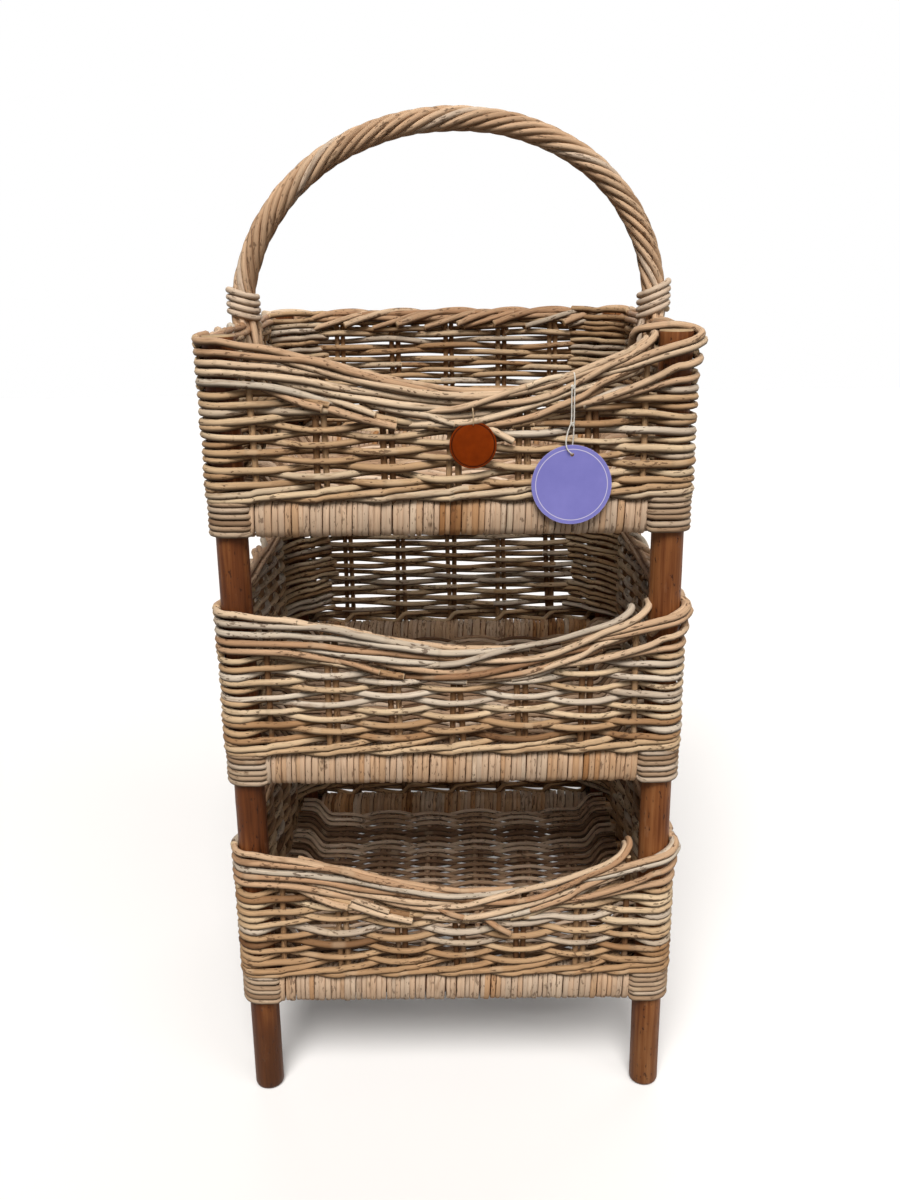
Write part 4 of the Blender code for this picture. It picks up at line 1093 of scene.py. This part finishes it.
handle_cane = cane_material("handle_cane", HANDLE_STOPS, 0.42, ring_spacing=2.5, underside_shade=0.45)
tails = [(side * HANDLE_FOOT_X, 0, HANDLE_FOOT_Z - HANDLE_TAIL) for side in (-1, 1)]
hoop = [tails[0]] + [handle_point(angle) for angle in np.linspace(math.pi, 0, 90)] + [tails[1]]
hoop = evenly(np.array(hoop), 0.0040)
hoop_run = run_along(hoop)
outward = np.cross((0, 1, 0), unit(np.gradient(hoop, axis=0)))
work = CaneWork()
# painted shade: the core takes the darkest tint, for the shade in the gaps between the strands
work.lay(hoop, HANDLE_RADIUS - 2 * STRAND_RADIUS, 0.0)
for strand in range(STRANDS):
    # the twist loosens a little here and there
    angle = 2 * math.pi * (hoop_run / TWIST_LENGTH + strand / STRANDS) + wobble(hoop_run, 0.05)
    radius = HANDLE_RADIUS - STRAND_RADIUS + wobble(hoop_run, 0.0003)
    line = hoop + outward * (radius * np.cos(angle))[:, None] - np.outer(radius * np.sin(angle), (0, 1, 0))
    thick = STRAND_RADIUS * random.uniform(0.97, 1.12) * uneven(len(line), 0.03)
    work.lay(line, thick, random.uniform(0.15, 1.0))
work.piece("handle_twist", "border_cane", ["handle"], handle_cane)


# The bindings: four tight turns of cane round each foot of the handle. Below them the handle's canes
# spread out and go down into the border.

BINDING_TURNS = 4
BINDING_STATIONS = 22
BINDING_RADIUS = 0.0033
BINDING_TILT = 0.0056
BINDING_BOTTOM = 0.0030
BINDING_TOP = 0.0065
FOOT_CANES = 7
FOOT_CANE_RADIUS = 0.0033

for name, side in (("left", -1), ("right", 1)):
    low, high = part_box("handle_binding_" + name)
    centre_x = (low.x + high.x) / 2
    angle = 2 * math.pi * np.linspace(0, BINDING_TURNS, BINDING_TURNS * BINDING_STATIONS + 1)
    rise = np.linspace(low.z - BINDING_BOTTOM, high.z - BINDING_TOP, len(angle))
    round_foot = HANDLE_RADIUS + BINDING_RADIUS * 0.8
    work = CaneWork()
    work.lay(np.column_stack([centre_x + round_foot * np.cos(angle), round_foot * np.sin(angle),
                              rise + side * BINDING_TILT * np.cos(angle)]), BINDING_RADIUS, 0.85, sides=10)
    for number in range(FOOT_CANES):
        turn = 2 * math.pi * (number + 0.3 * random.random()) / FOOT_CANES
        spread = random.uniform(0.013, 0.024)
        inward = -side * random.uniform(0.002, 0.010)
        # down from the binding: how far across, along and below its lower end
        steps = ((0.0085, 0.0, 0.0085, 0.010), (0.0105, 0.0, 0.0115, -0.001), (0.0110, 0.4, spread, -0.014),
                 (0.0080, 1.0, 1.3 * spread, -0.034))
        route = [(centre_x + inward * share + across * math.cos(turn), along * math.sin(turn), low.z + lift)
                 for across, share, along, lift in steps]
        radius = FOOT_CANE_RADIUS * random.uniform(0.9, 1.1)
        work.lay(smooth_line(route, 0.004), radius, random.uniform(0.3, 1.0))
    work.piece(f"handle_binding_{name}_turns", "border_cane", ["handle_binding_" + name], handle_cane)


# The rim cane: one loose round cane in the top basket's front rim, a little off the others, which the
# tag's string is looped over. Its two ends are pushed in behind the border's canes.

RIM_CANE_RADIUS = 0.0035
RIM_CANE_HALF_SPAN = 0.150
RIM_CANE_BELOW_RIM = 0.0115
RIM_CANE_SEAT = 0.0181
RIM_CANE_BOW = 0.0027


def rim_cane_centre(x):
    offset = RIM_CANE_SEAT + RIM_CANE_BOW * (1 - (abs(x) / RIM_CANE_HALF_SPAN) ** 8)
    return Vector((x, -HALF_Y - offset, float(front_rim(TOP, x)) - RIM_CANE_BELOW_RIM))


work = CaneWork()
work.lay([rim_cane_centre(x) for x in np.linspace(-RIM_CANE_HALF_SPAN, RIM_CANE_HALF_SPAN, 52)],
         RIM_CANE_RADIUS * 0.985, 0.60, sides=12)
work.piece("rim_cane_top_round", "border_cane", ["rim_cane_top"], border_cane)


# The patch: a round piece of brown leather with a dark pressed line near its edge, held by a thread that
# comes down from the rim. It is plain in the middle.

PATCH_RADIUS = 0.022
PATCH_THICKNESS = 0.0025
PATCH_SHRINK = 0.0009
PATCH_ROUNDING = 0.0007
PATCH_PLACE = (0.022, -HALF_Y - 0.022 - 0.0003 - 0.00125, 0.6975)
PATCH_LINE_RADIUS = 0.0192
PATCH_STOPS = ((0.3, (0.172, 0.0235, 0.0010)), (0.7, (0.246, 0.0350, 0.0015)))
THREAD_RADIUS = 0.0006
THREAD_STOPS = ((0.0, (0.36, 0.22, 0.11)), (1.0, (0.62, 0.46, 0.29)))
# from the patch's upper edge up to the rim: to the right, away from the posts' middle, and up
THREAD_ROUTE = ((0.0, -0.0226, -0.0042), (0.0002, -0.0257, -0.0034), (0.0003, -0.0260, 0.0020),
                (0.0001, -0.0258, 0.0070), (-0.0003, -0.0246, 0.0105), (-0.0004, -0.0205, 0.0120))


def disc_wires(name, centre):
    """A disc's material, the place from its centre, and the distance from its centre in its plane."""
    material, wire = new_wire(name)
    place = wire.node("TexCoord", output="Object").stretched((1, 1, 1), tuple(-v for v in centre))
    x, z = place.part("X"), place.part("Z")
    return material, place, (x * x + z * z) ** 0.5


def stand_up(bm, centre, lower=0.0):
    """Turn a flat disc to face the front, and take it to its place."""
    matrix = (Matrix.Translation(centre) @ Matrix.Rotation(math.pi / 2, 4, "X")
              @ Matrix.Translation((0, 0, -lower)))
    bmesh.ops.transform(bm, matrix=matrix, verts=bm.verts)


leather, place, across = disc_wires("brown_leather", PATCH_PLACE)
grain = place.node("TexVoronoi", {"feature": "DISTANCE_TO_EDGE"}, {"Vector": place, "Scale": 900.0})
clouds = place.noise(90.0, 4.0)
line = across.near(PATCH_LINE_RADIUS, 0.00028, 0.00060)
colour = clouds.ramp(PATCH_STOPS).toward((0.030, 0.008, 0.004), line * 0.85)
colour = colour.toward((0.060, 0.014, 0.005), across.above(0.0208, 0.0216) * 0.55)
finish(colour, 0.50 + 0.20 * clouds + 0.2 * line, grain.above(0.0, 0.12) * 0.35 - line * 2.0, 0.0003,
       shine=0.05)

bm = bmesh.new()
bmesh.ops.create_circle(bm, cap_ends=True, segments=64, radius=PATCH_RADIUS - PATCH_SHRINK)
top = bmesh.ops.extrude_face_region(bm, geom=list(bm.faces))["geom"]
bmesh.ops.translate(bm, vec=(0, 0, PATCH_THICKNESS),
                    verts=[item for item in top if isinstance(item, bmesh.types.BMVert)])
bmesh.ops.recalc_face_normals(bm, faces=bm.faces)
rims = [edge for edge in bm.edges if abs(edge.verts[0].co.z - edge.verts[1].co.z) < 1e-6]
bmesh.ops.bevel(bm, geom=rims, offset=PATCH_ROUNDING, affect="EDGES", segments=3, profile=0.5, material=-1)
stand_up(bm, PATCH_PLACE, PATCH_THICKNESS / 2)
patch_mesh = as_mesh("leather_patch_disc", bm)
patch_mesh.shade_smooth()
put("leather_patch_disc", patch_mesh, "stand", ["leather_patch"], leather)

patch_top = np.array((PATCH_PLACE[0], -HALF_Y, PATCH_PLACE[2] + PATCH_RADIUS))
work = CaneWork()
work.lay(smooth_line(patch_top + THREAD_ROUTE, 0.0012), THREAD_RADIUS, 0.6, ends=False)
thread = cane_material("tan_thread", THREAD_STOPS, underside_shade=0.2)
work.piece("leather_patch_thread", "leather", ["leather_patch"], thread)


# The swing tag: a round disc of lavender card with a thin cream line printed inside its edge and a small
# hole for the string. It is blank inside the line.

TAG_X = 0.110
TAG_RADIUS = 0.036
TAG_THICKNESS = 0.001
TAG_ROUNDING = 0.00012
TAG_LINE_RADIUS = 0.0322
TAG_HOLE_RADIUS = 0.0018
TAG_HOLE_FROM_EDGE = 0.0088
TAG_STOPS = ((0.25, (0.202, 0.190, 0.525)), (0.75, (0.250, 0.234, 0.596)))
STRING_DIAMETER = 0.0012
STRING_DROP = 0.0665
STRING_HALF_SPREAD = 0.0012
CLEARANCE = 0.0003

cane = rim_cane_centre(TAG_X)
rise = rim_cane_centre(TAG_X + STRING_HALF_SPREAD).z - rim_cane_centre(TAG_X - STRING_HALF_SPREAD).z
slope = rise / (2 * STRING_HALF_SPREAD)
loop = RIM_CANE_RADIUS * math.hypot(1, slope) + abs(rise) / 2 + CLEARANCE + STRING_DIAMETER / 2
hang = cane.y - loop
pivot = Vector((TAG_X, hang, cane.z - STRING_DROP))
hole_z = pivot.z - (TAG_HOLE_RADIUS - STRING_DIAMETER / 2 - CLEARANCE)
tag_centre = Vector((TAG_X, hang, hole_z - (TAG_RADIUS - TAG_HOLE_FROM_EDGE)))

card, place, across = disc_wires("lavender_card", tag_centre)
fibres = place.noise(700.0, 4.0)
colour = place.noise(30.0, 3.0).ramp(TAG_STOPS)
colour = colour.toward((0.78, 0.72, 0.78), across.near(TAG_LINE_RADIUS, 0.00022, 0.00042) * 0.85)
colour = colour.toward((0.42, 0.40, 0.72), across.above(0.03540, 0.03590) * 0.6)
finish(colour, 0.62 + 0.12 * fibres, fibres, 0.00008, shine=0.20)

outline_curve = bpy.data.curves.new("swing_tag_outline", "CURVE")
outline_curve.dimensions = "2D"
outline_curve.fill_mode = "BOTH"
outline_curve.extrude = TAG_THICKNESS / 2 - TAG_ROUNDING
outline_curve.bevel_depth = TAG_ROUNDING
outline_curve.bevel_resolution = 1
for centre_z, radius, count in ((tag_centre.z, TAG_RADIUS - TAG_ROUNDING, 96),
                                (hole_z, TAG_HOLE_RADIUS + TAG_ROUNDING, 24)):
    spline = outline_curve.splines.new("POLY")
    spline.points.add(count - 1)
    spline.use_cyclic_u = True
    for point, angle in zip(spline.points, np.arange(count) * 2 * math.pi / count):
        point.co = (radius * math.cos(angle), centre_z - tag_centre.z + radius * math.sin(angle), 0, 1)
outline = show("swing_tag_outline", outline_curve)
bpy.context.view_layer.update()
flat_mesh = bpy.data.meshes.new_from_object(outline.evaluated_get(bpy.context.evaluated_depsgraph_get()))
bpy.data.objects.remove(outline)
bm = bmesh.new()
bm.from_mesh(flat_mesh)
bmesh.ops.remove_doubles(bm, verts=bm.verts, dist=1e-6)
stand_up(bm, tag_centre)
bmesh.ops.recalc_face_normals(bm, faces=bm.faces)
put("swing_tag_card", as_mesh("swing_tag_card", bm), "swing_tag", ["swing_tag"], card)


# The string: a white cotton string, knotted into a loop. It goes up from the knot, round the rim cane,
# down, out in a bulge, through the tag's hole from the front and back up to the knot.

STRING_STOPS = ((0.0, (0.62, 0.56, 0.46)), (0.6, (0.86, 0.82, 0.74)))
STRING_TURN_RADIUS = 0.0023
KNOT_Z = cane.z - 0.040
KNOT_SIZE = 0.00062


def string_route():
    right, left, turn = TAG_X + STRING_HALF_SPREAD, TAG_X - STRING_HALF_SPREAD, STRING_TURN_RADIUS
    route = [(right, hang, z) for z in (KNOT_Z + 0.0009, KNOT_Z + 0.012, cane.z - 0.014, cane.z - 0.005)]
    for step in range(10):
        angle = step * math.pi / 6
        route.append((TAG_X + STRING_HALF_SPREAD * (1 - 2 * step / 9), cane.y - loop * math.cos(angle),
                      cane.z + loop * math.sin(angle)))
    route.append((left, cane.y - 0.0032, cane.z - loop - 0.0012))
    route += [(left, hang, z) for z in (cane.z - loop - 0.0050, cane.z - 0.020, KNOT_Z + 0.003)]
    route.append((left - 0.0030, hang - 0.0008, KNOT_Z - 0.007))
    # out in a bulge, in through the hole and up behind the tag: to the right and out of and above the pivot
    for x, out, up in ((-0.0058, -turn, 0.0110), (-0.0046, -turn - 0.0004, 0.0045), (-0.0012, -turn, 0.0008),
                       (0, -turn * 0.55, 0), (0, 0, 0), (0, turn * 0.60, 0.0002), (0.0002, turn, 0.0020),
                       (0.0006, turn, 0.0090), (0.0011, turn * 0.45, 0.0170)):
        route.append((TAG_X + x, hang + out, pivot.z + up))
    return route + [(right, hang, KNOT_Z - 0.0009)]


def cotton_piece(name, points, closed):
    """Show a string of cotton along points."""
    curve = bpy.data.curves.new(name, "CURVE")
    curve.dimensions = "3D"
    curve.bevel_depth = STRING_DIAMETER / 2
    curve.bevel_resolution = 3
    curve.use_fill_caps = not closed
    spline = curve.splines.new("POLY")
    spline.points.add(len(points) - 1)
    spline.use_cyclic_u = closed
    for point, where in zip(spline.points, points):
        point.co = (*where, 1)
    curve.materials.append(cotton)
    piece = show(name, curve)
    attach(piece, "tag_string")
    return piece


cotton, wire = new_wire("white_cotton")
place = wire.node("TexCoord", output="Object")
plies = place.node("TexWave", {"bands_direction": "DIAGONAL"},
                   {"Vector": place, "Scale": 700.0, "Distortion": 1.0}, output="Fac")
finish(plies.ramp(STRING_STOPS), 0.80 + 0.1 * plies, plies, 0.00012)

points = smooth_line(string_route(), 0.0022)
string = cotton_piece("tag_string_cotton", points, closed=False)
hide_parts("tag_string")

# each knot is a small trefoil of the same string, drawn tight
turn = np.linspace(0, 2 * math.pi, 40, endpoint=False)
trefoil = KNOT_SIZE * np.column_stack([np.sin(turn) + 2 * np.sin(2 * turn), np.sin(3 * turn) * 1.2,
                                       np.cos(turn) - 2 * np.cos(2 * turn)])
knots = [cotton_piece("string_knot_middle", trefoil + (TAG_X, hang, KNOT_Z), closed=True),
         cotton_piece("string_knot_top", trefoil + (TAG_X, hang + 0.0002, cane.z - 0.0075), closed=True)]

low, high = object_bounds()
